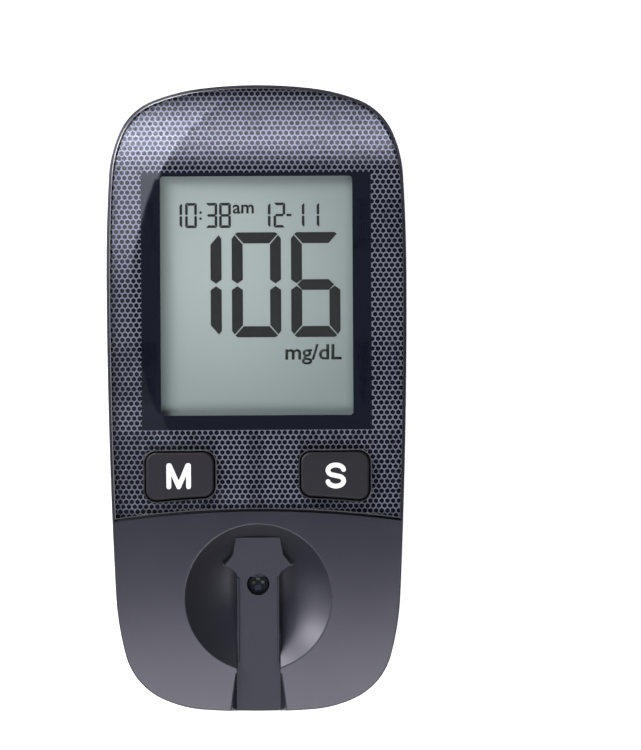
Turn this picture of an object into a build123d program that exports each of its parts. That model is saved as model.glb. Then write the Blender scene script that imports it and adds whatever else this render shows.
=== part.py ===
"""Blood glucose meter, in millimetres.

The meter lies on its back: +Z points out of the display, +Y towards the display end and -Y towards
the end that takes the test strip. The origin is the centre of the back, on the surface it rests on.
"""

from build123d import *
from math import atan, cos, radians, sin, sqrt, tan
import os

os.makedirs("parts", exist_ok=True)

# ---------------------------------------------------------------- driving dimensions

# Case
CASE_LENGTH = 97.8
CASE_WIDTH = 46.8
CASE_HEIGHT = 19.1
WIDEST_Y = 19.5
WALL = 1.6
PARTING_Z = 9.4
FACE_EDGE_RADIUS = 0.2
BACK_EDGE_RADIUS = 3.0
REVEAL_DEPTH = 0.3
REVEAL_HEIGHT = 0.4
LIP_HEIGHT = 1.2
LIP_THICKNESS = 0.8
LIP_ROOT = 1.5
LIP_GAP = 0.05
LIP_Y = 8.0
LIP_LENGTH = 44.0

# Plan outline: arcs from the widest point to each end, as (radius, direction where the arc ends).
# The first and the last arc of each end are solved so that the outline has its length and width.
TOP_SIDE_TURN = 3.4
TOP_ARCS = [(19.2, 24.0), (9.65, 69.0), (30.2, 83.0)]
FOOT_SIDE_TURN = 2.7
FOOT_ARCS = [(45.5, 15.0), (10.5, 65.0), (18.7, 86.0)]

# Crown of the face, a torus: one radius along the case and one across it
CROWN_APEX_Y = 16.0
CROWN_LENGTH_RADIUS = 400.0
CROWN_WIDTH_RADIUS = 260.0
CROWN_SPAN = 11.0

# Display lens, its print and its adhesive, counted down from the crown
LENS_INSET = 0.32
LENS_GAP = 0.06
LENS_CHAMFER = (0.17, 0.08)
LENS_THICKNESS = 1.35
PRINT_THICKNESS = 0.1
PRINT_MARGIN = 0.05
ADHESIVE_MARGIN = 0.4
LENS_SEAT_DEPTH = 1.6
WEB_DEPTH = 3.0
WEB_FOOT_Y = -20.8
LOWER_FACE_THICKNESS = 1.9
SEAM_Y = -17.6
SEAM_RADIUS = 160.0
SEAM_GAP = 0.4

# Display
LCD_Y = 16.05
LCD_VIEW_WIDTH = 30.0
LCD_VIEW_LENGTH = 37.3
WINDOW_CORNER = 0.5
LCD_GLASS_WIDTH = 34.0
LCD_FRONT_GLASS_LENGTH = 43.0
LCD_REAR_GLASS_LENGTH = 38.0
LCD_GLASS_THICKNESS = 1.1
LCD_HOLDER_WIDTH = 36.0
LCD_HOLDER_LENGTH = 44.0
LCD_HOLDER_LEDGE_WIDTH = 31.0
LCD_HOLDER_LEDGE_LENGTH = 34.0
LCD_FIT = 0.2
ZEBRA_OFFSET = 20.25
ZEBRA_THICKNESS = 1.5
ZEBRA_WIDTH = 30.0
LCD_TOP_Z = 15.0
POLARISER_THICKNESS = 0.2
POLARISER_LENGTH = 41.0
GASKET_WIDTH = 1.6
REFLECTOR_THICKNESS = 0.25
WEB_POCKET_Z = 15.4
WEB_MARGIN = 0.8
WEB_WINDOW_MARGIN = 0.5

# Keys
KEY_X = 12.1
KEY_Y = -12.1
KEY_WIDTH = 10.6
KEY_TOP_Y = -8.35
KEY_FOOT_ARC_RISE = 2.55
KEY_CORNER_RADIUS = 1.6
KEY_GAP = 0.25
KEY_PROUD = 0.45
KEY_FLANGE = 0.9
KEY_FLANGE_Z = 13.2
KEY_EDGE_RADIUS = 0.35
KEY_FLANGE_THICKNESS = 0.8
KEY_TRAVEL = 0.6
PLUNGER_WIDTH = 6.6
PLUNGER_LENGTH = 3.6
PLUNGER_CORNER = 0.5
MAT_THICKNESS = 1.0
PILL_THICKNESS = 0.3
PAD_THICKNESS = 0.05
PAD_WIDTH = 0.5
PAD_PITCH = 0.9
PILL_WIDTH = 4.6
PILL_LENGTH = 2.8
MAT_WIDTH = 38.0
MAT_LENGTH = 10.6
COLLAR_HEIGHT = 1.1
COLLAR_WALL = 1.0
PLUNGER_GAP = 0.25

# Strip dish and strip guide
DISH_Y = -31.1
DISH_RADIUS = 11.75
DISH_DEPTH = 4.6
DISH_WALL = 1.3
DISH_RIM_RADIUS = 0.3
GUIDE_FOOT_Z = 12.3
GUIDE_HEAD_Y = -21.7
GUIDE_HEAD_Z = 15.8
GUIDE_THICKNESS = 1.2
GUIDE_HALF_WIDTH = 3.3
GUIDE_ROOT_Y = -27.5
GUIDE_WING_FLARE = (4.1, -26.6)
GUIDE_WING_TIP = (5.4, -26.1)
GUIDE_WING_BACK = (4.5, -25.2)
GUIDE_NECK = (3.87, -24.3)
GUIDE_HEAD_HALF_WIDTH = 3.44
GUIDE_GAP = 0.15
GUIDE_ROOM_HEIGHT = 8.0
GUIDE_FOOT_INSET = 0.12
TURRET_WIDTH = 5.8
TURRET_FOOT_Y = -42.5
TURRET_HEAD_Y = -23.5
MOUTH_BLOCK_WIDTH = 13.2
MOUTH_BLOCK_HEAD_Y = -35.5
MOUTH_FLOOR = 1.5
FLARE_HEAD_Y = -42.9
FLARE_LEAN = 4.0
FLARE_HEIGHT = 5.0
FLARE_EDGE_RADIUS = 0.25
RAIL_WIDTH = 0.33
RAIL_HEIGHT = 0.45
RAIL_HEAD_Y = -27.9
RAIL_FOOT_Y = -41.2
RAIL_CHAMFER = 0.1
APERTURE_Y = -29.0
APERTURE_RADIUS = 1.75
WINDOW_RADIUS = 2.4
WINDOW_THICKNESS = 0.5
OPTICS_BORE_RADIUS = 1.9
OPTICS_RADIUS = 1.75
OPTICS_TOP_Z = 13.05
OPTICS_CHAMFER = 0.2
LED_RADIUS = 0.34
LED_OFFSETS = [(-0.75, 0.35), (0.75, 0.35), (0.0, 0.95)]
SENSOR_OFFSET = -0.55
SENSOR_SIZE = (1.0, 0.8)
SENSOR_HEIGHT = 0.25
TAB_WIDTH = 3.0
TAB_LENGTH = 1.4
TAB_FOOT_Z = 10.5

# Board and battery
BOARD_Z = 8.4
BOARD_THICKNESS = 1.0
BOARD_INSET = 2.7
BUZZER_PLACE = (14.4, -5.5)
BUZZER_RADIUS = 4.5
BUZZER_HEIGHT = 1.8
BUZZER_HOLE_RADIUS = 0.8
SOUND_HOLE_RADIUS = 0.5
SOUND_HOLE_PITCH = 2.0
PROCESSOR_PLACE = (1.5, -6.0)
PROCESSOR_SIDE = 8.0
PROCESSOR_HEIGHT = 1.6
LEAD = (1.4, 0.4)
LEAD_THICKNESS = 0.35
LEAD_PITCH = 0.9
LEADS_PER_SIDE = 8
LEAD_ROOT = 0.3
BOARD_CHIP_PLACES = [(9.5, -17.5), (-6.5, -18.5), (-14.5, 5.3)]
BOARD_CHIP_SIZE = (4.2, 3.4)
BOARD_CHIP_HEIGHT = 1.2
PACKAGE_CHAMFER = 0.15
CRYSTAL_PLACE = (-12.5, -22.5)
CRYSTAL_RADIUS = 0.9
CRYSTAL_LENGTH = 5.4
CAPACITOR_SIZE = (1.6, 0.8)
CAPACITOR_HEIGHT = 0.7
CAPACITOR_GROUPS = [((7.5, 4.2), 4, 2), ((10.5, -25.0), 2, 3)]
CAPACITOR_PITCH = (2.5, 2.1)
CELL_Y = 22.0
CELL_RADIUS = 10.0
CELL_HEIGHT = 3.2
CELL_Z = 2.0
CELL_CAP_RADIUS = 8.9
CELL_CAP_HEIGHT = 0.25
CELL_EDGE_RADIUS = 0.4
DOOR_WIDTH = 22.8
DOOR_FOOT_Y = 9.5
DOOR_LENGTH = 25.0
DOOR_GAP = 0.2
DOOR_ROOM_GAP = 0.15
DOOR_Z = 0.25
DOOR_THICKNESS = 1.4
DOOR_PIN_RADIUS = 0.5
DOOR_PIN_CLEARANCE = 0.06
DOOR_PIN_LENGTH = 0.8
LATCH_WIDTH = 6.0
LATCH_REACH = 0.7
LATCH_SLIT = (0.8, 4.2)
DOOR_RIB_RADIUS = 7.5
DOOR_RIB_THICKNESS = 0.8
DOOR_RIB_GAP = 0.05
DOOR_GRIP_SLOT = (9.0, 0.6)
DOOR_GRIP_OFFSET = 7.0
BAY_WALL = 1.2
BAY_ROOF_Z = 5.6
BAY_ROOF_THICKNESS = 0.9
BAY_CORNER_RADIUS = 1.5
BAY_GAP = 0.25
CONTACT_SLOT = (1.4, 2.8)
CONTACT_SLOT_LENGTH = 5.8
CONTACT_THICKNESS = 0.2
CONTACT_LEG_WIDTH = 2.0
NEGATIVE_PLATE = (9.0, 4.0)
NEGATIVE_PLATE_Y = 1.6
NEGATIVE_POINT_RADIUS = 0.8
NEGATIVE_POINT_PITCH = 6.0
NEGATIVE_LEG_Y = 3.4
POSITIVE_WIDTH = 5.0
POSITIVE_FOOT_Z = 2.8

# Fastening
SCREW_PLACES = [(13.0, 41.3), (-13.0, 41.3), (14.8, -39.5), (-14.8, -39.5)]
BOARD_SCREW_PLACES = [(17.4, -20.4), (-17.4, -20.4)]
BOARD_SCREW_RADIUS = 0.8
BOARD_SCREW_HEAD_RADIUS = 1.4
BOARD_SCREW_HEAD_HEIGHT = 0.9
BOARD_BOSS_RADIUS = 1.9
SCREW_RADIUS = 1.0
SCREW_CLEARANCE = 0.15
SCREW_HEAD_RADIUS = 1.75
SCREW_HEAD_HEIGHT = 1.2
SCREW_HEAD_Z = 0.6
SCREW_SLOT = (2.2, 0.5)
SCREW_SLOT_DEPTH = 0.7
SCREW_TIP_Z = 12.4
BOSS_RADIUS = 2.6
REAR_BOSS_RADIUS = 2.9

# Side slot and data socket
CHIP_Y = -7.1
CHIP_WIDTH = 12.0
CHIP_THICKNESS = 2.6
CHIP_Z = 4.4
CHIP_LENGTH = 14.0
CHIP_END_X = -23.0
CHIP_GAP = 0.15
CHIP_EDGE_RADIUS = 0.3
CHIP_NOTCH = (0.8, 5.0, 1.2)
CHIP_SOCKET_X = -20.3
CHIP_SOCKET_LENGTH = 12.2
CHIP_SOCKET_FLOOR = 0.7
CHIP_SOCKET_WALL = 0.9
CHIP_ROOM_END_X = -8.65
CHIP_CONTACT_X = -12.0
CHIP_CONTACT = (3.0, 0.5)
CHIP_CONTACT_PITCH = 1.7
CHIP_CONTACTS = 6
CHIP_CONTACT_GAP = 0.05
CHIP_SLOT_GAP = 0.1
SOCKET_FRONT_Y = 48.1
SOCKET_WIDTH = 7.4
SOCKET_HEIGHT = 2.5
SOCKET_DEPTH = 5.2
SOCKET_GAP = 0.4
SOCKET_WALL = 0.3
SOCKET_REAR_WALL = 0.4
TONGUE_LENGTH = 3.8
TONGUE_SECTION = (4.6, 0.7)
TONGUE_RISE = 0.2

# Release button of the strip guide
RELEASE_Y = -41.0
RELEASE_WIDTH = 8.0
RELEASE_LENGTH = 4.6
RELEASE_GAP = 0.2
RELEASE_RECESS = 0.25
RELEASE_CORNER = 1.2
RELEASE_GROOVE = (2.6, 0.5)
RELEASE_GROOVE_PITCH = 1.6
RELEASE_GROOVE_DEPTH = 0.3
STEM_RADIUS = 1.2
STEM_TOP_Z = 9.3
STEM_CLEARANCE = 0.8
RELEASE_FLANGE = 1.0
RELEASE_FLANGE_Z = 1.7
RELEASE_FLANGE_THICKNESS = 0.8
SPRING_WIDTH = 2.0
SPRING_THICKNESS = 0.25
SPRING_LEAN = 0.1
SPRING_LINE = [(1.6, 2.5), (3.1, 2.5), (6.3, 6.7), (7.4, 6.7)]

# Plain plate on the back
PLATE_Y = -17.0
PLATE_WIDTH = 28.0
PLATE_LENGTH = 17.0
PLATE_CORNER = 1.5
PLATE_GAP = 0.3
PLATE_RECESS = 0.2
PLATE_THICKNESS = 0.12


# ---------------------------------------------------------------- values that follow

HALF_WIDTH = CASE_WIDTH / 2
FOOT_Y = -CASE_LENGTH / 2
TOP_Y = CASE_LENGTH / 2
CROWN_AXIS_Z = CASE_HEIGHT - CROWN_LENGTH_RADIUS
SEAM_CENTRE_Y = SEAM_Y - SEAM_RADIUS
GUIDE_SLOPE = atan((GUIDE_HEAD_Z - GUIDE_FOOT_Z) / (GUIDE_HEAD_Y - FOOT_Y))
GUIDE_PLANE = Plane(
    origin=(0, FOOT_Y, GUIDE_FOOT_Z), x_dir=(1, 0, 0), z_dir=(0, -sin(GUIDE_SLOPE), cos(GUIDE_SLOPE))
)
DISH_BALL_RADIUS = (DISH_RADIUS**2 + DISH_DEPTH**2) / (2 * DISH_DEPTH)
DISH_LEAN = (CROWN_APEX_Y - DISH_Y) / CROWN_LENGTH_RADIUS
DISH_FACE_Z = CASE_HEIGHT - (CROWN_APEX_Y - DISH_Y) ** 2 / (2 * CROWN_LENGTH_RADIUS)
DISH_BALL_Y = DISH_Y - (DISH_BALL_RADIUS - DISH_DEPTH) * sin(DISH_LEAN)
DISH_BALL_Z = DISH_FACE_Z + (DISH_BALL_RADIUS - DISH_DEPTH) * cos(DISH_LEAN)
BOARD_TOP_Z = BOARD_Z + BOARD_THICKNESS
LCD_FRONT_GLASS_Z = LCD_TOP_Z - POLARISER_THICKNESS - LCD_GLASS_THICKNESS
LCD_REAR_GLASS_Z = LCD_FRONT_GLASS_Z - LCD_GLASS_THICKNESS
REFLECTOR_Z = LCD_REAR_GLASS_Z - REFLECTOR_THICKNESS
DOOR_AXIS_Y = DOOR_FOOT_Y + DOOR_THICKNESS / 2
DOOR_AXIS_Z = DOOR_Z + DOOR_THICKNESS / 2
DOOR_HEAD_Y = DOOR_FOOT_Y + DOOR_LENGTH
CELL_TOP_Z = CELL_Z + CELL_HEIGHT
DOOR_ROOM_Z = DOOR_Z + DOOR_THICKNESS + DOOR_ROOM_GAP
PILL_TOP_Z = BOARD_TOP_Z + PAD_THICKNESS + KEY_TRAVEL + PILL_THICKNESS
CHIP_MIDDLE_Z = CHIP_Z + CHIP_THICKNESS / 2
CHIP_ROOM_Z = CHIP_Z - CHIP_GAP
CHIP_ROOM_WIDTH = CHIP_WIDTH + 2 * CHIP_GAP
CHIP_CONTACT_Z = CHIP_Z + CHIP_THICKNESS + CHIP_CONTACT_GAP
SOCKET_MIDDLE_Z = BOARD_Z - SOCKET_HEIGHT / 2
ABOVE = 30.0
BELOW = 1.0
MERGE = 0.4


def guide_s(y):
    """Distance along the guide plane from the case's foot to the height line of y."""
    return (y - FOOT_Y) / cos(GUIDE_SLOPE)


def guide_z(y):
    """Height of the guide's channel floor at y."""
    return GUIDE_FOOT_Z + (y - FOOT_Y) * tan(GUIDE_SLOPE)


def end_arcs(reach, side_turn, middle_arcs):
    """Arcs from the widest point to one end, as (radius, first direction, last direction).

    The side arc and the end arc are solved so that the chain is as wide and as long as the case.
    """
    turns = [0.0, side_turn] + [turn for _, turn in middle_arcs] + [90.0]
    c = [cos(radians(turn)) for turn in turns]
    s = [sin(radians(turn)) for turn in turns]
    radii = [radius for radius, _ in middle_arcs]
    across = HALF_WIDTH - sum(r * (c[i + 1] - c[i + 2]) for i, r in enumerate(radii))
    along = reach - sum(r * (s[i + 2] - s[i + 1]) for i, r in enumerate(radii))
    side_across, side_along = 1 - c[1], s[1]
    tip_across, tip_along = c[-2], 1 - s[-2]
    determinant = side_across * tip_along - tip_across * side_along
    side_radius = (across * tip_along - tip_across * along) / determinant
    tip_radius = (side_across * along - side_along * across) / determinant
    return list(zip([side_radius] + radii + [tip_radius], turns, turns[1:]))


def case_outline(inset=0.0, mode=Mode.ADD):
    """Plan outline of the case, moved in by inset, as a face in the sketch that is open."""
    ends = (
        (1, end_arcs(TOP_Y - WIDEST_Y, TOP_SIDE_TURN, TOP_ARCS)),
        (-1, end_arcs(WIDEST_Y - FOOT_Y, FOOT_SIDE_TURN, FOOT_ARCS)),
    )
    with BuildLine() as outline:
        for way, arcs in ends:
            centre_x, centre_y = HALF_WIDTH - arcs[0][0], WIDEST_Y
            last_radius = arcs[0][0]
            for radius, first, last in arcs:
                step = last_radius - radius
                centre_x += step * cos(radians(first))
                centre_y += way * step * sin(radians(first))
                last_radius = radius
                turns = (first, (first + last) / 2, last)
                reach = radius - inset
                points = [
                    (centre_x + reach * cos(radians(t)), centre_y + way * reach * sin(radians(t)))
                    for t in turns
                ]
                points[2] = (0, points[2][1]) if last == 90.0 else points[2]
                ThreePointArc(*points)
        mirror(about=Plane.YZ)
    make_face(outline.edges(), mode=mode)


def crown_block(drop):
    """Solid that fills everything under the crowned face lowered by drop."""
    lean = radians(CROWN_SPAN)
    half, base = 30.0, CROWN_LENGTH_RADIUS - 30.0
    across = CROWN_WIDTH_RADIUS - drop
    rim = CROWN_LENGTH_RADIUS - CROWN_WIDTH_RADIUS + sqrt(across**2 - half**2)
    start = Plane(
        origin=(0, CROWN_APEX_Y, CROWN_AXIS_Z), x_dir=(1, 0, 0), z_dir=(0, -cos(lean), sin(lean))
    )
    with BuildPart() as block:
        with BuildSketch(start):
            with BuildLine():
                ThreePointArc((-half, rim), (0, CROWN_LENGTH_RADIUS - drop), (half, rim))
                Polyline((half, rim), (half, base), (-half, base), (-half, rim))
            make_face()
        axis = Axis((0, CROWN_APEX_Y, CROWN_AXIS_Z), (1, 0, 0))
        revolve(axis=axis, revolution_arc=2 * CROWN_SPAN)
    return block.part


def lens_outline(inset, seam_gap):
    """Plan of the display lens: the case outline moved in, cut off along the curved seam."""
    case_outline(inset)
    with Locations((0, SEAM_CENTRE_Y)):
        Circle(SEAM_RADIUS + seam_gap, mode=Mode.SUBTRACT)


def key_outline(side, grow=0.0, mode=Mode.ADD):
    """Plan of one key, right for side 1 and left for side -1. Its foot runs parallel to the seam."""
    inner = side * (KEY_X - KEY_WIDTH / 2 - grow)
    outer = side * (KEY_X + KEY_WIDTH / 2 + grow)
    top = KEY_TOP_Y + grow
    foot_radius = SEAM_RADIUS + KEY_FOOT_ARC_RISE - grow
    foot = [
        (x, SEAM_CENTRE_Y + sqrt(foot_radius**2 - x**2)) for x in (inner, (inner + outer) / 2, outer)
    ]
    with BuildSketch(mode=Mode.PRIVATE) as key:
        with BuildLine():
            ThreePointArc(*foot)
            Polyline(foot[2], (outer, top), (inner, top), foot[0])
        make_face()
        fillet(key.vertices(), KEY_CORNER_RADIUS + grow)
    add(key.sketch_local, mode=mode)


def guide_outline():
    """Plan of the strip guide on its own plane: a shaft with an arrow-like head."""
    root, flare, tip, bend, neck, head = (
        (x, guide_s(y))
        for x, y in (
            (GUIDE_HALF_WIDTH, GUIDE_ROOT_Y),
            GUIDE_WING_FLARE,
            GUIDE_WING_TIP,
            GUIDE_WING_BACK,
            GUIDE_NECK,
            (GUIDE_HEAD_HALF_WIDTH, GUIDE_HEAD_Y),
        )
    )
    with BuildLine() as outline:
        Polyline((0, 0), (GUIDE_HALF_WIDTH, 0), root)
        ThreePointArc(root, flare, tip)
        ThreePointArc(tip, bend, neck)
        Polyline(neck, head, (0, head[1]))
        mirror(about=Plane.YZ)
    make_face(outline.edges())


def plunger_outline(side, grow=0.0):
    """Plan of the rubber post under one key."""
    width, length = PLUNGER_WIDTH + 2 * grow, PLUNGER_LENGTH + 2 * grow
    rounded_plate(width, length, PLUNGER_CORNER + grow, (side * KEY_X, KEY_Y))


def lcd_window(margin=0.0, mode=Mode.ADD):
    """Window over the display, larger than its visible field by margin on every side."""
    width, length = LCD_VIEW_WIDTH + 2 * margin, LCD_VIEW_LENGTH + 2 * margin
    rounded_plate(width, length, WINDOW_CORNER, (0, LCD_Y), mode)


def rounded_plate(width, length, radius, centre=(0, 0), mode=Mode.ADD):
    """Rounded rectangle at a centre, in the sketch that is open."""
    with Locations(centre):
        RectangleRounded(width, length, radius, mode=mode)


CROWN = crown_block(0)
UNDER_LENS = crown_block(LENS_THICKNESS)
UNDER_PRINT = crown_block(LENS_THICKNESS + PRINT_THICKNESS)
LENS_SEAT = crown_block(LENS_SEAT_DEPTH)
UNDER_WEB = crown_block(WEB_DEPTH)
UNDER_LOWER_FACE = crown_block(LOWER_FACE_THICKNESS)
KEY_CROWN = crown_block(-KEY_PROUD)

# ---------------------------------------------------------------- the case as one body

with BuildPart() as case_body:
    with BuildSketch(Plane.XY):
        case_outline()
    extrude(amount=ABOVE)
    add(CROWN, mode=Mode.INTERSECT)
    fillet(case_body.faces().sort_by(Axis.Z)[-1].edges(), FACE_EDGE_RADIUS)
    fillet(case_body.faces().sort_by(Axis.Z)[0].edges(), BACK_EDGE_RADIUS)

# ---------------------------------------------------------------- front shell

with BuildPart() as dish_wall:
    with Locations((0, DISH_BALL_Y, DISH_BALL_Z)):
        Sphere(DISH_BALL_RADIUS + DISH_WALL)
    add(crown_block(DISH_WALL), mode=Mode.INTERSECT)

# Turret that carries the strip guide over the dish
with BuildPart() as guide_turret:
    turret_foot, turret_head = guide_s(TURRET_FOOT_Y), guide_s(TURRET_HEAD_Y)
    with BuildSketch(GUIDE_PLANE):
        with Locations((0, (turret_foot + turret_head) / 2)):
            Rectangle(TURRET_WIDTH, turret_head - turret_foot)
    extrude(amount=-(DISH_DEPTH + DISH_WALL))
    with Locations((0, DISH_BALL_Y, DISH_BALL_Z)):
        Sphere(DISH_BALL_RADIUS + DISH_WALL, mode=Mode.INTERSECT)

# Block round the mouth at the foot of the case
with BuildPart() as mouth_block:
    with BuildSketch(GUIDE_PLANE.offset(-GUIDE_THICKNESS - MOUTH_FLOOR)):
        with Locations((0, guide_s(MOUTH_BLOCK_HEAD_Y) / 2)):
            Rectangle(MOUTH_BLOCK_WIDTH, guide_s(MOUTH_BLOCK_HEAD_Y))
    extrude(amount=GUIDE_ROOM_HEIGHT)
    add(crown_block(WALL / 2), mode=Mode.INTERSECT)
    with BuildSketch(Plane.XY):
        case_outline(WALL / 2)
    extrude(amount=ABOVE, mode=Mode.INTERSECT)

# Space that the guide drops into, with clearance all round
with BuildPart() as guide_room:
    with BuildSketch(GUIDE_PLANE.offset(-GUIDE_THICKNESS - GUIDE_GAP)):
        guide_outline()
        with Locations((0, -WALL / 2)):
            Rectangle(2 * GUIDE_HALF_WIDTH, WALL)
        offset(amount=GUIDE_GAP)
    extrude(amount=GUIDE_ROOM_HEIGHT)

# Walls above the guide that lean out more and more towards the mouth
with BuildPart() as mouth_flare:
    half = GUIDE_HALF_WIDTH + GUIDE_GAP
    for section_y, lean in ((FLARE_HEAD_Y, 0), (FOOT_Y - WALL, FLARE_LEAN)):
        floor_z = guide_z(section_y)
        top_z = floor_z + FLARE_HEIGHT
        with BuildSketch(Plane.XZ.offset(-section_y)):
            with BuildLine():
                Polyline((0, floor_z), (half, floor_z), (half + lean, top_z), (0, top_z))
                mirror(about=Plane.YZ)
            make_face()
    loft(ruled=True)

with BuildPart() as upper_cavity:
    with BuildSketch(Plane.XY.offset(PARTING_Z - 1)):
        case_outline(WALL)
        with Locations((0, WEB_FOOT_Y)):
            Rectangle(CASE_WIDTH, CASE_LENGTH, align=(Align.CENTER, Align.MAX), mode=Mode.SUBTRACT)
    extrude(amount=ABOVE)
    add(UNDER_WEB, mode=Mode.INTERSECT)

with BuildPart() as lower_cavity:
    with BuildSketch(Plane.XY.offset(PARTING_Z - 1)):
        case_outline(WALL)
        with Locations((0, WEB_FOOT_Y)):
            Rectangle(CASE_WIDTH, CASE_LENGTH, align=(Align.CENTER, Align.MIN), mode=Mode.SUBTRACT)
    extrude(amount=ABOVE)
    add(UNDER_LOWER_FACE, mode=Mode.INTERSECT)

with BuildPart() as lens_recess:
    with BuildSketch(Plane.XY.offset(PARTING_Z)):
        lens_outline(LENS_INSET, 0)
    extrude(amount=ABOVE)
    add(LENS_SEAT, mode=Mode.SUBTRACT)

# Plate with a flat underside above the display
with BuildPart() as display_web:
    with BuildSketch(Plane.XY.offset(WEB_POCKET_Z)):
        width, length = LCD_HOLDER_WIDTH + 2 * WEB_MARGIN, LCD_HOLDER_LENGTH + 2 * WEB_MARGIN
        rounded_plate(width, length, WINDOW_CORNER, (0, LCD_Y))
    extrude(amount=ABOVE)
    add(UNDER_LOWER_FACE, mode=Mode.INTERSECT)

with BuildPart() as front_bosses:
    with BuildSketch(Plane.XY.offset(BOARD_TOP_Z)):
        with Locations(*SCREW_PLACES):
            Circle(BOSS_RADIUS)
        with Locations(*BOARD_SCREW_PLACES):
            Circle(BOARD_BOSS_RADIUS)
    extrude(amount=ABOVE)
    add(UNDER_LOWER_FACE, mode=Mode.INTERSECT)

with BuildPart() as front_openings:
    # Window over the display
    with BuildSketch(Plane.XY.offset(PARTING_Z)):
        lcd_window(WEB_WINDOW_MARGIN)
    extrude(amount=ABOVE)
    # Keys
    with BuildSketch(Plane.XY.offset(PARTING_Z)):
        for side in (-1, 1):
            key_outline(side, KEY_GAP)
    extrude(amount=ABOVE)
    # Pocket for the display's holder
    with BuildSketch(Plane.XY.offset(PARTING_Z - 1)):
        with Locations((0, LCD_Y)):
            Rectangle(LCD_HOLDER_WIDTH + LCD_FIT, LCD_HOLDER_LENGTH + LCD_FIT)
    extrude(amount=WEB_POCKET_Z - PARTING_Z + 1)
    # Screws
    with BuildSketch(Plane.XY.offset(PARTING_Z - 1)):
        with Locations(*SCREW_PLACES):
            Circle(SCREW_RADIUS)
        with Locations(*BOARD_SCREW_PLACES):
            Circle(BOARD_SCREW_RADIUS)
    extrude(amount=SCREW_TIP_Z - PARTING_Z + 1)
    # Optics, and the guide's tab
    with BuildSketch(Plane.XY.offset(PARTING_Z - 1)):
        with Locations((0, APERTURE_Y)):
            Circle(OPTICS_BORE_RADIUS)
        with Locations((0, RELEASE_Y)):
            Rectangle(TAB_WIDTH + 2 * GUIDE_GAP, TAB_LENGTH + 4 * GUIDE_GAP)
    extrude(amount=OPTICS_TOP_Z + WALL - PARTING_Z)


def lies_on_flare(edge):
    """Whether an edge is one where the mouth's leaning walls meet the face."""
    place = edge.center()
    return (
        abs(place.X) < MOUTH_BLOCK_WIDTH / 2
        and FOOT_Y + WALL < place.Y < FLARE_HEAD_Y
        and place.Z > guide_z(place.Y) + GUIDE_THICKNESS
    )


with BuildPart() as front_shell:
    add(case_body.part)
    split(bisect_by=Plane.XY.offset(PARTING_Z), keep=Keep.TOP)
    add(upper_cavity.part, mode=Mode.SUBTRACT)
    add(lower_cavity.part, mode=Mode.SUBTRACT)
    add(display_web.part)
    add(front_bosses.part)
    add(dish_wall.part)
    add(mouth_block.part)
    with Locations((0, DISH_BALL_Y, DISH_BALL_Z)):
        Sphere(DISH_BALL_RADIUS, mode=Mode.SUBTRACT)
    ball_faces = front_shell.faces().filter_by(GeomType.SPHERE)
    dish_face = ball_faces.filter_by(lambda face: abs(face.radius - DISH_BALL_RADIUS) < 0.01)[0]
    fillet(dish_face.edges().sort_by(SortBy.LENGTH)[-1], DISH_RIM_RADIUS)
    add(guide_turret.part)
    add(mouth_flare.part, mode=Mode.SUBTRACT)
    flare_edges = front_shell.edges().filter_by(lies_on_flare)
    fillet(flare_edges, FLARE_EDGE_RADIUS)
    add(guide_room.part, mode=Mode.SUBTRACT)
    add(lens_recess.part, mode=Mode.SUBTRACT)
    add(front_openings.part, mode=Mode.SUBTRACT)
front_shell.part.label = "front_shell"
export_step(front_shell.part, "parts/front_shell.step")

# ---------------------------------------------------------------- display lens and print

with BuildPart() as display_lens:
    with BuildSketch(Plane.XY.offset(PARTING_Z)):
        lens_outline(LENS_INSET + LENS_GAP, SEAM_GAP)
        for side in (-1, 1):
            key_outline(side, KEY_GAP, Mode.SUBTRACT)
    extrude(amount=ABOVE)
    add(CROWN, mode=Mode.INTERSECT)
    lens_top = display_lens.faces().sort_by(Axis.Z)[-1]
    chamfer(lens_top.edges(), *LENS_CHAMFER, reference=lens_top)
    add(UNDER_LENS, mode=Mode.SUBTRACT)
display_lens.part.label = "display_lens"
export_step(display_lens.part, "parts/display_lens.step")

with BuildPart() as printed_film:
    with BuildSketch(Plane.XY.offset(PARTING_Z)):
        lens_outline(LENS_INSET + LENS_GAP + PRINT_MARGIN, SEAM_GAP + PRINT_MARGIN)
        lcd_window(mode=Mode.SUBTRACT)
        for side in (-1, 1):
            key_outline(side, KEY_GAP, Mode.SUBTRACT)
    extrude(amount=ABOVE)
    add(UNDER_LENS, mode=Mode.INTERSECT)
    add(UNDER_PRINT, mode=Mode.SUBTRACT)
printed_film.part.label = "printed_film"
export_step(printed_film.part, "parts/printed_film.step")

with BuildPart() as lens_adhesive:
    with BuildSketch(Plane.XY.offset(PARTING_Z)):
        lens_outline(LENS_INSET + ADHESIVE_MARGIN, SEAM_GAP + ADHESIVE_MARGIN)
        lcd_window(WEB_WINDOW_MARGIN + ADHESIVE_MARGIN, Mode.SUBTRACT)
        for side in (-1, 1):
            key_outline(side, KEY_GAP + ADHESIVE_MARGIN, Mode.SUBTRACT)
    extrude(amount=ABOVE)
    add(UNDER_PRINT, mode=Mode.INTERSECT)
    add(LENS_SEAT, mode=Mode.SUBTRACT)
lens_adhesive.part.label = "lens_adhesive"
export_step(lens_adhesive.part, "parts/lens_adhesive.step")

# ---------------------------------------------------------------- liquid crystal display

with BuildPart() as lcd_gasket:
    with BuildSketch(Plane.XY.offset(LCD_TOP_Z)):
        lcd_window(GASKET_WIDTH)
        lcd_window(WEB_WINDOW_MARGIN, Mode.SUBTRACT)
    extrude(amount=WEB_POCKET_Z - LCD_TOP_Z)
lcd_gasket.part.label = "lcd_gasket"
export_step(lcd_gasket.part, "parts/lcd_gasket.step")

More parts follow.
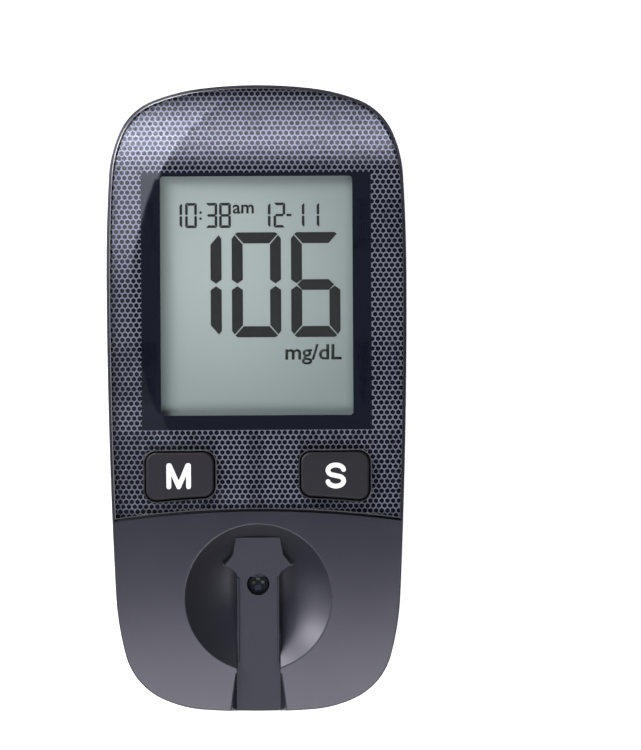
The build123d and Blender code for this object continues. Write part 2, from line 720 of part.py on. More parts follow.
with BuildPart() as front_polariser:
    with Locations((0, LCD_Y, LCD_TOP_Z - POLARISER_THICKNESS / 2)):
        Box(LCD_GLASS_WIDTH - 2 * LCD_FIT, POLARISER_LENGTH, POLARISER_THICKNESS)
front_polariser.part.label = "front_polariser"
export_step(front_polariser.part, "parts/front_polariser.step")

with BuildPart() as lcd_front_glass:
    with Locations((0, LCD_Y, LCD_FRONT_GLASS_Z + LCD_GLASS_THICKNESS / 2)):
        Box(LCD_GLASS_WIDTH, LCD_FRONT_GLASS_LENGTH, LCD_GLASS_THICKNESS)
lcd_front_glass.part.label = "lcd_front_glass"
export_step(lcd_front_glass.part, "parts/lcd_front_glass.step")

with BuildPart() as lcd_rear_glass:
    with Locations((0, LCD_Y, LCD_REAR_GLASS_Z + LCD_GLASS_THICKNESS / 2)):
        Box(LCD_GLASS_WIDTH, LCD_REAR_GLASS_LENGTH, LCD_GLASS_THICKNESS)
lcd_rear_glass.part.label = "lcd_rear_glass"
export_step(lcd_rear_glass.part, "parts/lcd_rear_glass.step")

with BuildPart() as reflector:
    with Locations((0, LCD_Y, REFLECTOR_Z + REFLECTOR_THICKNESS / 2)):
        Box(LCD_GLASS_WIDTH - 2 * LCD_FIT, LCD_REAR_GLASS_LENGTH - 2 * LCD_FIT, REFLECTOR_THICKNESS)
reflector.part.label = "reflector"
export_step(reflector.part, "parts/reflector.step")

with BuildPart() as lcd_holder:
    with BuildSketch(Plane.XY.offset(BOARD_TOP_Z)):
        with Locations((0, LCD_Y)):
            Rectangle(LCD_HOLDER_WIDTH, LCD_HOLDER_LENGTH)
    extrude(amount=LCD_FRONT_GLASS_Z + LCD_GLASS_THICKNESS / 2 - BOARD_TOP_Z)
    pockets = (
        (LCD_GLASS_WIDTH + LCD_FIT, LCD_FRONT_GLASS_LENGTH + LCD_FIT, LCD_FRONT_GLASS_Z),
        (LCD_GLASS_WIDTH + LCD_FIT, LCD_REAR_GLASS_LENGTH + LCD_FIT, REFLECTOR_Z),
        (LCD_HOLDER_LEDGE_WIDTH, LCD_HOLDER_LEDGE_LENGTH, BOARD_TOP_Z),
    )
    for width, length, floor_z in pockets:
        with BuildSketch(Plane.XY.offset(floor_z)):
            with Locations((0, LCD_Y)):
                Rectangle(width, length)
        extrude(amount=ABOVE, mode=Mode.SUBTRACT)
    with BuildSketch(Plane.XY.offset(BOARD_TOP_Z)):
        with Locations((0, LCD_Y)):
            with GridLocations(1, 2 * ZEBRA_OFFSET, 1, 2):
                Rectangle(ZEBRA_WIDTH + LCD_FIT, ZEBRA_THICKNESS + LCD_FIT)
    extrude(amount=ABOVE, mode=Mode.SUBTRACT)
lcd_holder.part.label = "lcd_holder"
export_step(lcd_holder.part, "parts/lcd_holder.step")

with BuildPart() as zebra_connectors:
    with BuildSketch(Plane.XY.offset(BOARD_TOP_Z)):
        with Locations((0, LCD_Y)):
            with GridLocations(1, 2 * ZEBRA_OFFSET, 1, 2):
                Rectangle(ZEBRA_WIDTH, ZEBRA_THICKNESS)
    extrude(amount=LCD_FRONT_GLASS_Z - BOARD_TOP_Z)
zebra_connectors.part.label = "zebra_connectors"
export_step(zebra_connectors.part, "parts/zebra_connectors.step")

# ---------------------------------------------------------------- circuit board

with BuildPart() as circuit_board:
    with BuildSketch(Plane.XY.offset(BOARD_Z)):
        case_outline(BOARD_INSET)
        with Locations(*SCREW_PLACES):
            Circle(SCREW_RADIUS + SCREW_CLEARANCE, mode=Mode.SUBTRACT)
        with Locations(*BOARD_SCREW_PLACES):
            Circle(BOARD_SCREW_RADIUS + SCREW_CLEARANCE, mode=Mode.SUBTRACT)
        with Locations((0, RELEASE_Y)):
            Circle(STEM_RADIUS + STEM_CLEARANCE, mode=Mode.SUBTRACT)
    extrude(amount=BOARD_THICKNESS)
circuit_board.part.label = "circuit_board"
export_step(circuit_board.part, "parts/circuit_board.step")

with BuildPart() as buzzer:
    with BuildSketch(Plane.XY.offset(BOARD_Z)):
        with Locations(BUZZER_PLACE):
            Circle(BUZZER_RADIUS)
    extrude(amount=-BUZZER_HEIGHT)
    with BuildSketch(Plane.XY.offset(BOARD_Z - BUZZER_HEIGHT)):
        with Locations(BUZZER_PLACE):
            Circle(BUZZER_HOLE_RADIUS)
    extrude(amount=BUZZER_HEIGHT / 3, mode=Mode.SUBTRACT)
buzzer.part.label = "buzzer"
export_step(buzzer.part, "parts/buzzer.step")

# Flat package with leads on four sides
with BuildPart() as microcontroller:
    with BuildSketch(Plane.XY.offset(BOARD_Z - LEAD_THICKNESS / 2)):
        with Locations(PROCESSOR_PLACE):
            Rectangle(PROCESSOR_SIDE, PROCESSOR_SIDE)
    extrude(amount=LEAD_THICKNESS / 2 - PROCESSOR_HEIGHT)
    chamfer(microcontroller.faces().sort_by(Axis.Z)[0].edges(), PACKAGE_CHAMFER)
    with BuildSketch(Plane.XY.offset(BOARD_Z)):
        with Locations(PROCESSOR_PLACE):
            with PolarLocations((PROCESSOR_SIDE + LEAD[0]) / 2 - LEAD_ROOT, 4):
                with GridLocations(1, LEAD_PITCH, 1, LEADS_PER_SIDE):
                    Rectangle(*LEAD)
    extrude(amount=-LEAD_THICKNESS)
microcontroller.part.label = "microcontroller"
export_step(microcontroller.part, "parts/microcontroller.step")

with BuildPart() as board_chips:
    with BuildSketch(Plane.XY.offset(BOARD_Z)):
        with Locations(*BOARD_CHIP_PLACES):
            Rectangle(*BOARD_CHIP_SIZE)
    extrude(amount=-BOARD_CHIP_HEIGHT)
    chamfer(board_chips.faces().group_by(Axis.Z)[0].edges(), PACKAGE_CHAMFER)
board_chips.part.label = "board_chips"
export_step(board_chips.part, "parts/board_chips.step")

with BuildPart() as crystal:
    with Locations((*CRYSTAL_PLACE, BOARD_Z - CRYSTAL_RADIUS)):
        Cylinder(CRYSTAL_RADIUS, CRYSTAL_LENGTH, rotation=(0, 90, 0))
crystal.part.label = "crystal"
export_step(crystal.part, "parts/crystal.step")

with BuildPart() as capacitors:
    with BuildSketch(Plane.XY.offset(BOARD_Z)):
        for centre, columns, rows in CAPACITOR_GROUPS:
            with Locations(centre):
                with GridLocations(*CAPACITOR_PITCH, columns, rows):
                    Rectangle(*CAPACITOR_SIZE)
    extrude(amount=-CAPACITOR_HEIGHT)
capacitors.part.label = "capacitors"
export_step(capacitors.part, "parts/capacitors.step")

# ---------------------------------------------------------------- keys

# Carbon tracks under the keys
with BuildPart() as key_contact_pads:
    with BuildSketch(Plane.XY.offset(BOARD_TOP_Z)):
        for side in (-1, 1):
            with Locations((side * KEY_X, KEY_Y)):
                with GridLocations(PAD_PITCH, 1, 5, 1):
                    Rectangle(PAD_WIDTH, PILL_LENGTH)
    extrude(amount=PAD_THICKNESS)
key_contact_pads.part.label = "key_contact_pads"
export_step(key_contact_pads.part, "parts/key_contact_pads.step")

with BuildPart() as keypad_mat:
    with BuildSketch(Plane.XY.offset(BOARD_TOP_Z)):
        rounded_plate(MAT_WIDTH, MAT_LENGTH, PLUNGER_CORNER, (0, KEY_Y))
    extrude(amount=MAT_THICKNESS)
    with BuildSketch(Plane.XY.offset(BOARD_TOP_Z + MAT_THICKNESS)):
        for side in (-1, 1):
            plunger_outline(side, PLUNGER_GAP + COLLAR_WALL)
    extrude(amount=COLLAR_HEIGHT)
    with BuildSketch(Plane.XY.offset(BOARD_TOP_Z)):
        for side in (-1, 1):
            plunger_outline(side, PLUNGER_GAP)
    extrude(amount=MAT_THICKNESS + COLLAR_HEIGHT, mode=Mode.SUBTRACT)
keypad_mat.part.label = "keypad_mat"
export_step(keypad_mat.part, "parts/keypad_mat.step")


def key_cap(side):
    """Cap of one key: it stands a little proud of the lens, over a flange that keeps it in."""
    with BuildPart() as cap:
        with BuildSketch(Plane.XY.offset(KEY_FLANGE_Z)):
            key_outline(side)
        extrude(amount=ABOVE)
        add(KEY_CROWN, mode=Mode.INTERSECT)
        fillet(cap.faces().sort_by(Axis.Z)[-1].edges(), KEY_EDGE_RADIUS)
        with BuildSketch(Plane.XY.offset(KEY_FLANGE_Z)):
            key_outline(side, KEY_FLANGE)
        extrude(amount=KEY_FLANGE_THICKNESS)
    return cap.part


def key_plunger(side):
    """Rubber post under one key."""
    with BuildPart() as plunger:
        with BuildSketch(Plane.XY.offset(PILL_TOP_Z)):
            plunger_outline(side)
        extrude(amount=KEY_FLANGE_Z - PILL_TOP_Z)
    return plunger.part


def key_pill(side):
    """Carbon pill that closes the contact under one key."""
    with BuildPart() as pill:
        with BuildSketch(Plane.XY.offset(PILL_TOP_Z)):
            rounded_plate(PILL_WIDTH, PILL_LENGTH, PLUNGER_CORNER, (side * KEY_X, KEY_Y))
        extrude(amount=-PILL_THICKNESS)
    return pill.part


with BuildPart() as memory_key:
    add(key_cap(-1))
memory_key.part.label = "memory_key"
export_step(memory_key.part, "parts/memory_key.step")

with BuildPart() as memory_key_plunger:
    add(key_plunger(-1))
memory_key_plunger.part.label = "memory_key_plunger"
export_step(memory_key_plunger.part, "parts/memory_key_plunger.step")

with BuildPart() as memory_key_pill:
    add(key_pill(-1))
memory_key_pill.part.label = "memory_key_pill"
export_step(memory_key_pill.part, "parts/memory_key_pill.step")

with BuildPart() as set_key:
    add(key_cap(1))
set_key.part.label = "set_key"
export_step(set_key.part, "parts/set_key.step")

with BuildPart() as set_key_plunger:
    add(key_plunger(1))
set_key_plunger.part.label = "set_key_plunger"
export_step(set_key_plunger.part, "parts/set_key_plunger.step")

with BuildPart() as set_key_pill:
    add(key_pill(1))
set_key_pill.part.label = "set_key_pill"
export_step(set_key_pill.part, "parts/set_key_pill.step")

# ---------------------------------------------------------------- strip guide and optics

APERTURE_S = guide_s(APERTURE_Y)

with BuildPart() as strip_guide:
    with BuildSketch(GUIDE_PLANE):
        guide_outline()
    extrude(amount=-GUIDE_THICKNESS)
    rail_foot, rail_head = guide_s(RAIL_FOOT_Y), guide_s(RAIL_HEAD_Y)
    with BuildSketch(GUIDE_PLANE):
        for side in (-1, 1):
            with Locations((side * (GUIDE_HALF_WIDTH - RAIL_WIDTH / 2), (rail_foot + rail_head) / 2)):
                Rectangle(RAIL_WIDTH, rail_head - rail_foot)
    extrude(amount=RAIL_HEIGHT)
    rail_tops = strip_guide.faces().filter_by(
        lambda face: GUIDE_PLANE.to_local_coords(face.center()).Z > RAIL_HEIGHT - RAIL_CHAMFER
    )
    chamfer(rail_tops.edges(), RAIL_CHAMFER)
    # Tab that the release catch holds
    with BuildSketch(Plane.XY.offset(TAB_FOOT_Z)):
        with Locations((0, RELEASE_Y)):
            Rectangle(TAB_WIDTH, TAB_LENGTH)
    extrude(amount=guide_z(RELEASE_Y) - TAB_FOOT_Z - GUIDE_THICKNESS / 4)
    # Hole over the optics, with a rebate for the window from below
    with BuildSketch(GUIDE_PLANE.offset(-GUIDE_THICKNESS)):
        with Locations((0, APERTURE_S)):
            Circle(APERTURE_RADIUS)
    extrude(amount=2 * GUIDE_THICKNESS, mode=Mode.SUBTRACT)
    with BuildSketch(GUIDE_PLANE.offset(-GUIDE_THICKNESS)):
        with Locations((0, APERTURE_S)):
            Circle(WINDOW_RADIUS)
    extrude(amount=WINDOW_THICKNESS, mode=Mode.SUBTRACT)
    with BuildSketch(Plane.XY):
        case_outline(GUIDE_FOOT_INSET)
    extrude(amount=ABOVE, mode=Mode.INTERSECT)
strip_guide.part.label = "strip_guide"
export_step(strip_guide.part, "parts/strip_guide.step")

with BuildPart() as measuring_window:
    with BuildSketch(GUIDE_PLANE.offset(-GUIDE_THICKNESS)):
        with Locations((0, APERTURE_S)):
            Circle(WINDOW_RADIUS)
    extrude(amount=WINDOW_THICKNESS)
measuring_window.part.label = "measuring_window"
export_step(measuring_window.part, "parts/measuring_window.step")

with BuildPart() as optics_block:
    with BuildSketch(Plane.XY.offset(BOARD_TOP_Z)):
        with Locations((0, APERTURE_Y)):
            Circle(OPTICS_RADIUS)
    extrude(amount=OPTICS_TOP_Z - BOARD_TOP_Z)
    chamfer(optics_block.faces().sort_by(Axis.Z)[-1].edges(), OPTICS_CHAMFER)
optics_block.part.label = "optics_block"
export_step(optics_block.part, "parts/optics_block.step")

with BuildPart() as measuring_leds:
    with Locations(*[(x, APERTURE_Y + y, OPTICS_TOP_Z) for x, y in LED_OFFSETS]):
        Sphere(LED_RADIUS)
    split(bisect_by=Plane.XY.offset(OPTICS_TOP_Z), keep=Keep.TOP)
measuring_leds.part.label = "measuring_leds"
export_step(measuring_leds.part, "parts/measuring_leds.step")

with BuildPart() as photodiode:
    with BuildSketch(Plane.XY.offset(OPTICS_TOP_Z)):
        with Locations((0, APERTURE_Y + SENSOR_OFFSET)):
            Rectangle(*SENSOR_SIZE)
    extrude(amount=SENSOR_HEIGHT)
photodiode.part.label = "photodiode"
export_step(photodiode.part, "parts/photodiode.step")

# ---------------------------------------------------------------- rear shell

with BuildPart() as battery_bay:
    with BuildSketch(Plane.XY.offset(WALL - MERGE)):
        with Locations((0, CELL_Y)):
            Rectangle(DOOR_WIDTH + 2 * (DOOR_GAP + BAY_WALL), DOOR_LENGTH + 2 * (DOOR_GAP + BAY_WALL))
    extrude(amount=BAY_ROOF_Z + BAY_ROOF_THICKNESS - WALL + MERGE)
    fillet(battery_bay.edges().filter_by(Axis.Z), BAY_CORNER_RADIUS)

with BuildPart() as rear_bosses:
    with BuildSketch(Plane.XY.offset(WALL - MERGE)):
        with Locations(*SCREW_PLACES):
            Circle(REAR_BOSS_RADIUS)
    extrude(amount=BOARD_Z - WALL + MERGE)

# Ribs inside both flanks that keep the two shells in line
with BuildPart() as alignment_lips:
    for outer, low, high in (
        (WALL - MERGE, PARTING_Z - LIP_ROOT, PARTING_Z),
        (WALL + LIP_GAP, PARTING_Z, PARTING_Z + LIP_HEIGHT),
    ):
        with BuildSketch(Plane.XY.offset(low)):
            case_outline(outer)
            case_outline(WALL + LIP_GAP + LIP_THICKNESS, Mode.SUBTRACT)
            with Locations((0, LIP_Y)):
                Rectangle(CASE_WIDTH, LIP_LENGTH, mode=Mode.INTERSECT)
        extrude(amount=high - low)

with BuildPart() as rear_openings:
    # Battery door, its latch and its pins
    with BuildSketch(Plane.XY.offset(-BELOW)):
        with Locations((0, CELL_Y)):
            Rectangle(DOOR_WIDTH + 2 * DOOR_GAP, DOOR_LENGTH + 2 * DOOR_GAP)
        with Locations((0, DOOR_HEAD_Y)):
            Rectangle(LATCH_WIDTH + 2 * DOOR_GAP, 2 * (LATCH_REACH + DOOR_GAP))
    extrude(amount=DOOR_ROOM_Z + BELOW)
    with Locations((0, DOOR_AXIS_Y, DOOR_AXIS_Z)):
        Cylinder(
            DOOR_PIN_RADIUS + DOOR_PIN_CLEARANCE,
            DOOR_WIDTH + 2 * (DOOR_PIN_LENGTH + DOOR_PIN_CLEARANCE),
            rotation=(0, 90, 0),
        )
    # Battery well, and slots for its contacts
    with BuildSketch(Plane.XY.offset(DOOR_ROOM_Z - MERGE)):
        with Locations((0, CELL_Y)):
            Circle(CELL_RADIUS + BAY_GAP)
        with Locations((CELL_RADIUS + CONTACT_THICKNESS, CELL_Y)):
            Rectangle(CONTACT_SLOT[0], CONTACT_SLOT_LENGTH)
    extrude(amount=BAY_ROOF_Z - DOOR_ROOM_Z + MERGE)
    with BuildSketch(Plane.XY.offset(BAY_ROOF_Z - MERGE)):
        with Locations((CELL_RADIUS + CONTACT_THICKNESS, CELL_Y), (0, CELL_Y + NEGATIVE_LEG_Y)):
            Rectangle(*CONTACT_SLOT)
    extrude(amount=BAY_ROOF_THICKNESS + 2 * MERGE)
    # Release button
    with BuildSketch(Plane.XY.offset(-BELOW)):
        rounded_plate(
            RELEASE_WIDTH + 2 * RELEASE_GAP,
            RELEASE_LENGTH + 2 * RELEASE_GAP,
            RELEASE_CORNER + RELEASE_GAP,
            (0, RELEASE_Y),
        )
    extrude(amount=WALL + 2 * BELOW)
    # Case screws
    for radius, high in (
        (SCREW_HEAD_RADIUS + SCREW_CLEARANCE, SCREW_HEAD_Z + SCREW_HEAD_HEIGHT),
        (SCREW_RADIUS + SCREW_CLEARANCE, BOARD_Z),
    ):
        with BuildSketch(Plane.XY.offset(-BELOW)):
            with Locations(*SCREW_PLACES):
                Circle(radius)
        extrude(amount=high + BELOW)
    # Sound holes
    with BuildSketch(Plane.XY.offset(-BELOW)):
        with Locations(BUZZER_PLACE):
            with GridLocations(SOUND_HOLE_PITCH, 1, 3, 1):
                Circle(SOUND_HOLE_RADIUS)
    extrude(amount=WALL + 2 * BELOW)
    # Slot for the code chip
    with Locations((-HALF_WIDTH, CHIP_Y, CHIP_MIDDLE_Z)):
        Box(4 * WALL, CHIP_WIDTH + 2 * CHIP_GAP, CHIP_THICKNESS + 2 * CHIP_GAP)
    # Mouth of the data socket
    with Locations((0, TOP_Y, SOCKET_MIDDLE_Z)):
        Box(SOCKET_WIDTH + 2 * SOCKET_GAP, 4 * WALL, SOCKET_HEIGHT + 2 * SOCKET_GAP)
    # Recess for the rating plate
    with BuildSketch(Plane.XY.offset(-BELOW)):
        rounded_plate(PLATE_WIDTH, PLATE_LENGTH, PLATE_CORNER, (0, PLATE_Y))
    extrude(amount=PLATE_RECESS + BELOW)

with BuildPart() as rear_shell:
    add(case_body.part)
    split(bisect_by=Plane.XY.offset(PARTING_Z), keep=Keep.BOTTOM)
    with BuildSketch(Plane.XY.offset(WALL)):
        case_outline(WALL)
    extrude(amount=ABOVE, mode=Mode.SUBTRACT)
    with BuildSketch(Plane.XY.offset(PARTING_Z - REVEAL_HEIGHT)):
        case_outline(-1)
        case_outline(REVEAL_DEPTH, Mode.SUBTRACT)
    extrude(amount=REVEAL_HEIGHT, mode=Mode.SUBTRACT)
    add(battery_bay.part)
    add(rear_bosses.part)
    add(alignment_lips.part)
    add(rear_openings.part, mode=Mode.SUBTRACT)
rear_shell.part.label = "rear_shell"
export_step(rear_shell.part, "parts/rear_shell.step")

with BuildPart() as rating_plate:
    with BuildSketch(Plane.XY.offset(PLATE_RECESS - PLATE_THICKNESS)):
        rounded_plate(
            PLATE_WIDTH - PLATE_GAP, PLATE_LENGTH - PLATE_GAP, PLATE_CORNER - PLATE_GAP / 2, (0, PLATE_Y)
        )
    extrude(amount=PLATE_THICKNESS)
rating_plate.part.label = "rating_plate"
export_step(rating_plate.part, "parts/rating_plate.step")

# ---------------------------------------------------------------- battery and its door

with BuildPart() as battery_door:
    with BuildSketch(Plane.XY.offset(DOOR_Z)):
        with Locations((0, (DOOR_AXIS_Y + DOOR_HEAD_Y) / 2)):
            Rectangle(DOOR_WIDTH, DOOR_HEAD_Y - DOOR_AXIS_Y)
        with Locations((0, DOOR_HEAD_Y)):
            Rectangle(LATCH_WIDTH, 2 * LATCH_REACH)
    extrude(amount=DOOR_THICKNESS)
    with Locations((0, DOOR_AXIS_Y, DOOR_AXIS_Z)):
        Cylinder(DOOR_THICKNESS / 2, DOOR_WIDTH, rotation=(0, 90, 0))
        Cylinder(DOOR_PIN_RADIUS, DOOR_WIDTH + 2 * DOOR_PIN_LENGTH, rotation=(0, 90, 0))
    # Rib that bears on the battery
    with BuildSketch(Plane.XY.offset(DOOR_Z + DOOR_THICKNESS)):
        with Locations((0, CELL_Y)):
            Circle(DOOR_RIB_RADIUS)
            Circle(DOOR_RIB_RADIUS - DOOR_RIB_THICKNESS, mode=Mode.SUBTRACT)
    extrude(amount=CELL_Z - DOOR_Z - DOOR_THICKNESS - DOOR_RIB_GAP)
    # Slits beside the latch, and finger ridges
    with BuildSketch(Plane.XY.offset(DOOR_Z)):
        with Locations((0, DOOR_HEAD_Y + LATCH_SLIT[0] / 2 - LATCH_SLIT[1] / 2)):
            with GridLocations(LATCH_WIDTH + LATCH_SLIT[0], 1, 2, 1):
                Rectangle(*LATCH_SLIT)
    extrude(amount=DOOR_THICKNESS, mode=Mode.SUBTRACT)
    with BuildSketch(Plane.XY.offset(DOOR_Z)):
        with Locations((0, DOOR_HEAD_Y - DOOR_GRIP_OFFSET)):
            with GridLocations(1, 2 * DOOR_GRIP_SLOT[1], 1, 4):
                SlotOverall(*DOOR_GRIP_SLOT)
    extrude(amount=DOOR_THICKNESS / 4, mode=Mode.SUBTRACT)
battery_door.part.label = "battery_door"
export_step(battery_door.part, "parts/battery_door.step")

with BuildPart() as coin_cell:
    with BuildSketch(Plane.XY.offset(CELL_Z)):
        with Locations((0, CELL_Y)):
            Circle(CELL_RADIUS)
    extrude(amount=CELL_HEIGHT - CELL_CAP_HEIGHT)
    fillet(coin_cell.faces().sort_by(Axis.Z)[0].edges(), CELL_EDGE_RADIUS)
    with BuildSketch(Plane.XY.offset(CELL_TOP_Z - CELL_CAP_HEIGHT)):
        with Locations((0, CELL_Y)):
            Circle(CELL_CAP_RADIUS)
    extrude(amount=CELL_CAP_HEIGHT)
coin_cell.part.label = "coin_cell"
export_step(coin_cell.part, "parts/coin_cell.step")

with BuildPart() as battery_contact_negative:
    with BuildSketch(Plane.XY.offset(BAY_ROOF_Z - CONTACT_THICKNESS)):
        rounded_plate(*NEGATIVE_PLATE, NEGATIVE_POINT_RADIUS, (0, CELL_Y + NEGATIVE_PLATE_Y))
    extrude(amount=CONTACT_THICKNESS)
    with BuildSketch(Plane.XY.offset(CELL_TOP_Z)):
        with Locations((0, CELL_Y + NEGATIVE_PLATE_Y)):
            with GridLocations(NEGATIVE_POINT_PITCH, 1, 2, 1):
                Circle(NEGATIVE_POINT_RADIUS)
    extrude(amount=BAY_ROOF_Z - CELL_TOP_Z)
    with BuildSketch(Plane.XY.offset(BAY_ROOF_Z - CONTACT_THICKNESS)):
        with Locations((0, CELL_Y + NEGATIVE_LEG_Y)):
            Rectangle(CONTACT_THICKNESS, CONTACT_LEG_WIDTH)
    extrude(amount=BOARD_Z - BAY_ROOF_Z + CONTACT_THICKNESS)
battery_contact_negative.part.label = "battery_contact_negative"
export_step(battery_contact_negative.part, "parts/battery_contact_negative.step")

with BuildPart() as battery_contact_positive:
    with BuildSketch(Plane.XY.offset(POSITIVE_FOOT_Z)):
        with Locations((CELL_RADIUS + CONTACT_THICKNESS / 2, CELL_Y)):
            Rectangle(CONTACT_THICKNESS, POSITIVE_WIDTH)
    extrude(amount=BAY_ROOF_Z - CONTACT_THICKNESS - POSITIVE_FOOT_Z)
    with BuildSketch(Plane.XY.offset(POSITIVE_FOOT_Z)):
        with Locations((CELL_RADIUS + CONTACT_THICKNESS / 2, CELL_Y)):
            Rectangle(CONTACT_THICKNESS, CONTACT_LEG_WIDTH)
    extrude(amount=BOARD_Z - POSITIVE_FOOT_Z)
battery_contact_positive.part.label = "battery_contact_positive"
export_step(battery_contact_positive.part, "parts/battery_contact_positive.step")

# ---------------------------------------------------------------- code chip in the left flank

with BuildPart() as code_chip:
    with Locations((CHIP_END_X + CHIP_LENGTH / 2, CHIP_Y, CHIP_MIDDLE_Z)):
        Box(CHIP_LENGTH, CHIP_WIDTH, CHIP_THICKNESS)
    fillet(code_chip.edges().filter_by(Axis.X), CHIP_EDGE_RADIUS)
    # Finger notch in the outer end
    with Locations((CHIP_END_X, CHIP_Y, CHIP_MIDDLE_Z)):
        Box(*CHIP_NOTCH, mode=Mode.SUBTRACT)
code_chip.part.label = "code_chip"
export_step(code_chip.part, "parts/code_chip.step")

with BuildPart() as code_chip_socket:
    with BuildSketch(Plane.XY.offset(CHIP_ROOM_Z - CHIP_SOCKET_FLOOR)):
        with Locations((CHIP_SOCKET_X + CHIP_SOCKET_LENGTH / 2, CHIP_Y)):
            Rectangle(CHIP_SOCKET_LENGTH, CHIP_ROOM_WIDTH + 2 * CHIP_SOCKET_WALL)
    extrude(amount=BOARD_Z - CHIP_ROOM_Z + CHIP_SOCKET_FLOOR)
    # Room for the chip, open to the case's flank
    with BuildSketch(Plane.XY.offset(CHIP_ROOM_Z)):
        with Locations(((CHIP_SOCKET_X + CHIP_ROOM_END_X) / 2 - MERGE / 2, CHIP_Y)):
            Rectangle(CHIP_ROOM_END_X - CHIP_SOCKET_X + MERGE, CHIP_ROOM_WIDTH)
    extrude(amount=CHIP_THICKNESS + 2 * CHIP_GAP, mode=Mode.SUBTRACT)
    # Slots for the contacts
    with BuildSketch(Plane.XY.offset(CHIP_MIDDLE_Z)):
        with Locations((CHIP_CONTACT_X, CHIP_Y)):
            with GridLocations(1, CHIP_CONTACT_PITCH, 1, CHIP_CONTACTS):
                Rectangle(CHIP_CONTACT[0] + 2 * CHIP_SLOT_GAP, CHIP_CONTACT[1] + 2 * CHIP_SLOT_GAP)
    extrude(amount=BOARD_Z - CHIP_MIDDLE_Z, mode=Mode.SUBTRACT)
code_chip_socket.part.label = "code_chip_socket"
export_step(code_chip_socket.part, "parts/code_chip_socket.step")

with BuildPart() as code_chip_contacts:
    with BuildSketch(Plane.XY.offset(CHIP_CONTACT_Z)):
        with Locations((CHIP_CONTACT_X, CHIP_Y)):
            with GridLocations(1, CHIP_CONTACT_PITCH, 1, CHIP_CONTACTS):
                Rectangle(*CHIP_CONTACT)
    extrude(amount=BOARD_Z - CHIP_CONTACT_Z)
code_chip_contacts.part.label = "code_chip_contacts"
export_step(code_chip_contacts.part, "parts/code_chip_contacts.step")

# ---------------------------------------------------------------- data socket in the top end

with BuildPart() as data_socket_shell:
    with BuildSketch(Plane.XZ.offset(-SOCKET_FRONT_Y)):
        rounded_plate(SOCKET_WIDTH, SOCKET_HEIGHT, 2 * SOCKET_WALL, (0, SOCKET_MIDDLE_Z))
        rounded_plate(
            SOCKET_WIDTH - 2 * SOCKET_WALL,
            SOCKET_HEIGHT - 2 * SOCKET_WALL,
            SOCKET_WALL,
            (0, SOCKET_MIDDLE_Z),
            Mode.SUBTRACT,
        )
    extrude(amount=SOCKET_DEPTH)
    # Rear wall
    with BuildSketch(Plane.XZ.offset(SOCKET_DEPTH - SOCKET_REAR_WALL - SOCKET_FRONT_Y)):
        with Locations((0, SOCKET_MIDDLE_Z)):
            Rectangle(SOCKET_WIDTH - 4 * SOCKET_WALL, SOCKET_HEIGHT - SOCKET_WALL)
    extrude(amount=SOCKET_REAR_WALL)
data_socket_shell.part.label = "data_socket_shell"
export_step(data_socket_shell.part, "parts/data_socket_shell.step")

with BuildPart() as data_socket_tongue:
    with BuildSketch(Plane.XZ.offset(SOCKET_DEPTH - SOCKET_REAR_WALL - TONGUE_LENGTH - SOCKET_FRONT_Y)):
        with Locations((0, SOCKET_MIDDLE_Z + TONGUE_RISE)):
            Rectangle(*TONGUE_SECTION)
    extrude(amount=TONGUE_LENGTH)
data_socket_tongue.part.label = "data_socket_tongue"
export_step(data_socket_tongue.part, "parts/data_socket_tongue.step")

# ---------------------------------------------------------------- release button of the strip guide

with BuildPart() as release_button:
    with BuildSketch(Plane.XY.offset(RELEASE_RECESS)):
        rounded_plate(RELEASE_WIDTH, RELEASE_LENGTH, RELEASE_CORNER, (0, RELEASE_Y))
    extrude(amount=RELEASE_FLANGE_Z - RELEASE_RECESS)
    with BuildSketch(Plane.XY.offset(RELEASE_RECESS)):
        with Locations((0, RELEASE_Y)):
            with GridLocations(RELEASE_GROOVE_PITCH, 1, 3, 1):
                SlotOverall(*RELEASE_GROOVE, rotation=90)
    extrude(amount=RELEASE_GROOVE_DEPTH, mode=Mode.SUBTRACT)
    with BuildSketch(Plane.XY.offset(RELEASE_FLANGE_Z)):
        rounded_plate(
            RELEASE_WIDTH + 2 * RELEASE_FLANGE,
            RELEASE_LENGTH + 2 * RELEASE_FLANGE,
            RELEASE_CORNER + RELEASE_FLANGE / 2,
            (0, RELEASE_Y),
        )
    extrude(amount=RELEASE_FLANGE_THICKNESS)
    with BuildSketch(Plane.XY.offset(RELEASE_FLANGE_Z)):
        with Locations((0, RELEASE_Y)):
            Circle(STEM_RADIUS)
    extrude(amount=STEM_TOP_Z - RELEASE_FLANGE_Z)
release_button.part.label = "release_button"
export_step(release_button.part, "parts/release_button.step")

# Leaf arms that spring the button back
with BuildPart() as release_spring:
    with BuildSketch(Plane.XZ.offset(SPRING_WIDTH / 2 - RELEASE_Y)):
        with BuildLine():
            Polyline(*SPRING_LINE, (SPRING_LINE[-1][0], SPRING_LINE[-1][1] + SPRING_THICKNESS))
            Polyline(
                (SPRING_LINE[-1][0], SPRING_LINE[-1][1] + SPRING_THICKNESS),
                *[(x - SPRING_LEAN, z + SPRING_THICKNESS) for x, z in SPRING_LINE[2:0:-1]],
                (SPRING_LINE[0][0], SPRING_LINE[0][1] + SPRING_THICKNESS),
                SPRING_LINE[0],
            )
        make_face()
        mirror(about=Plane.YZ)
    extrude(amount=-SPRING_WIDTH)
release_spring.part.label = "release_spring"
export_step(release_spring.part, "parts/release_spring.step")

# ---------------------------------------------------------------- screws

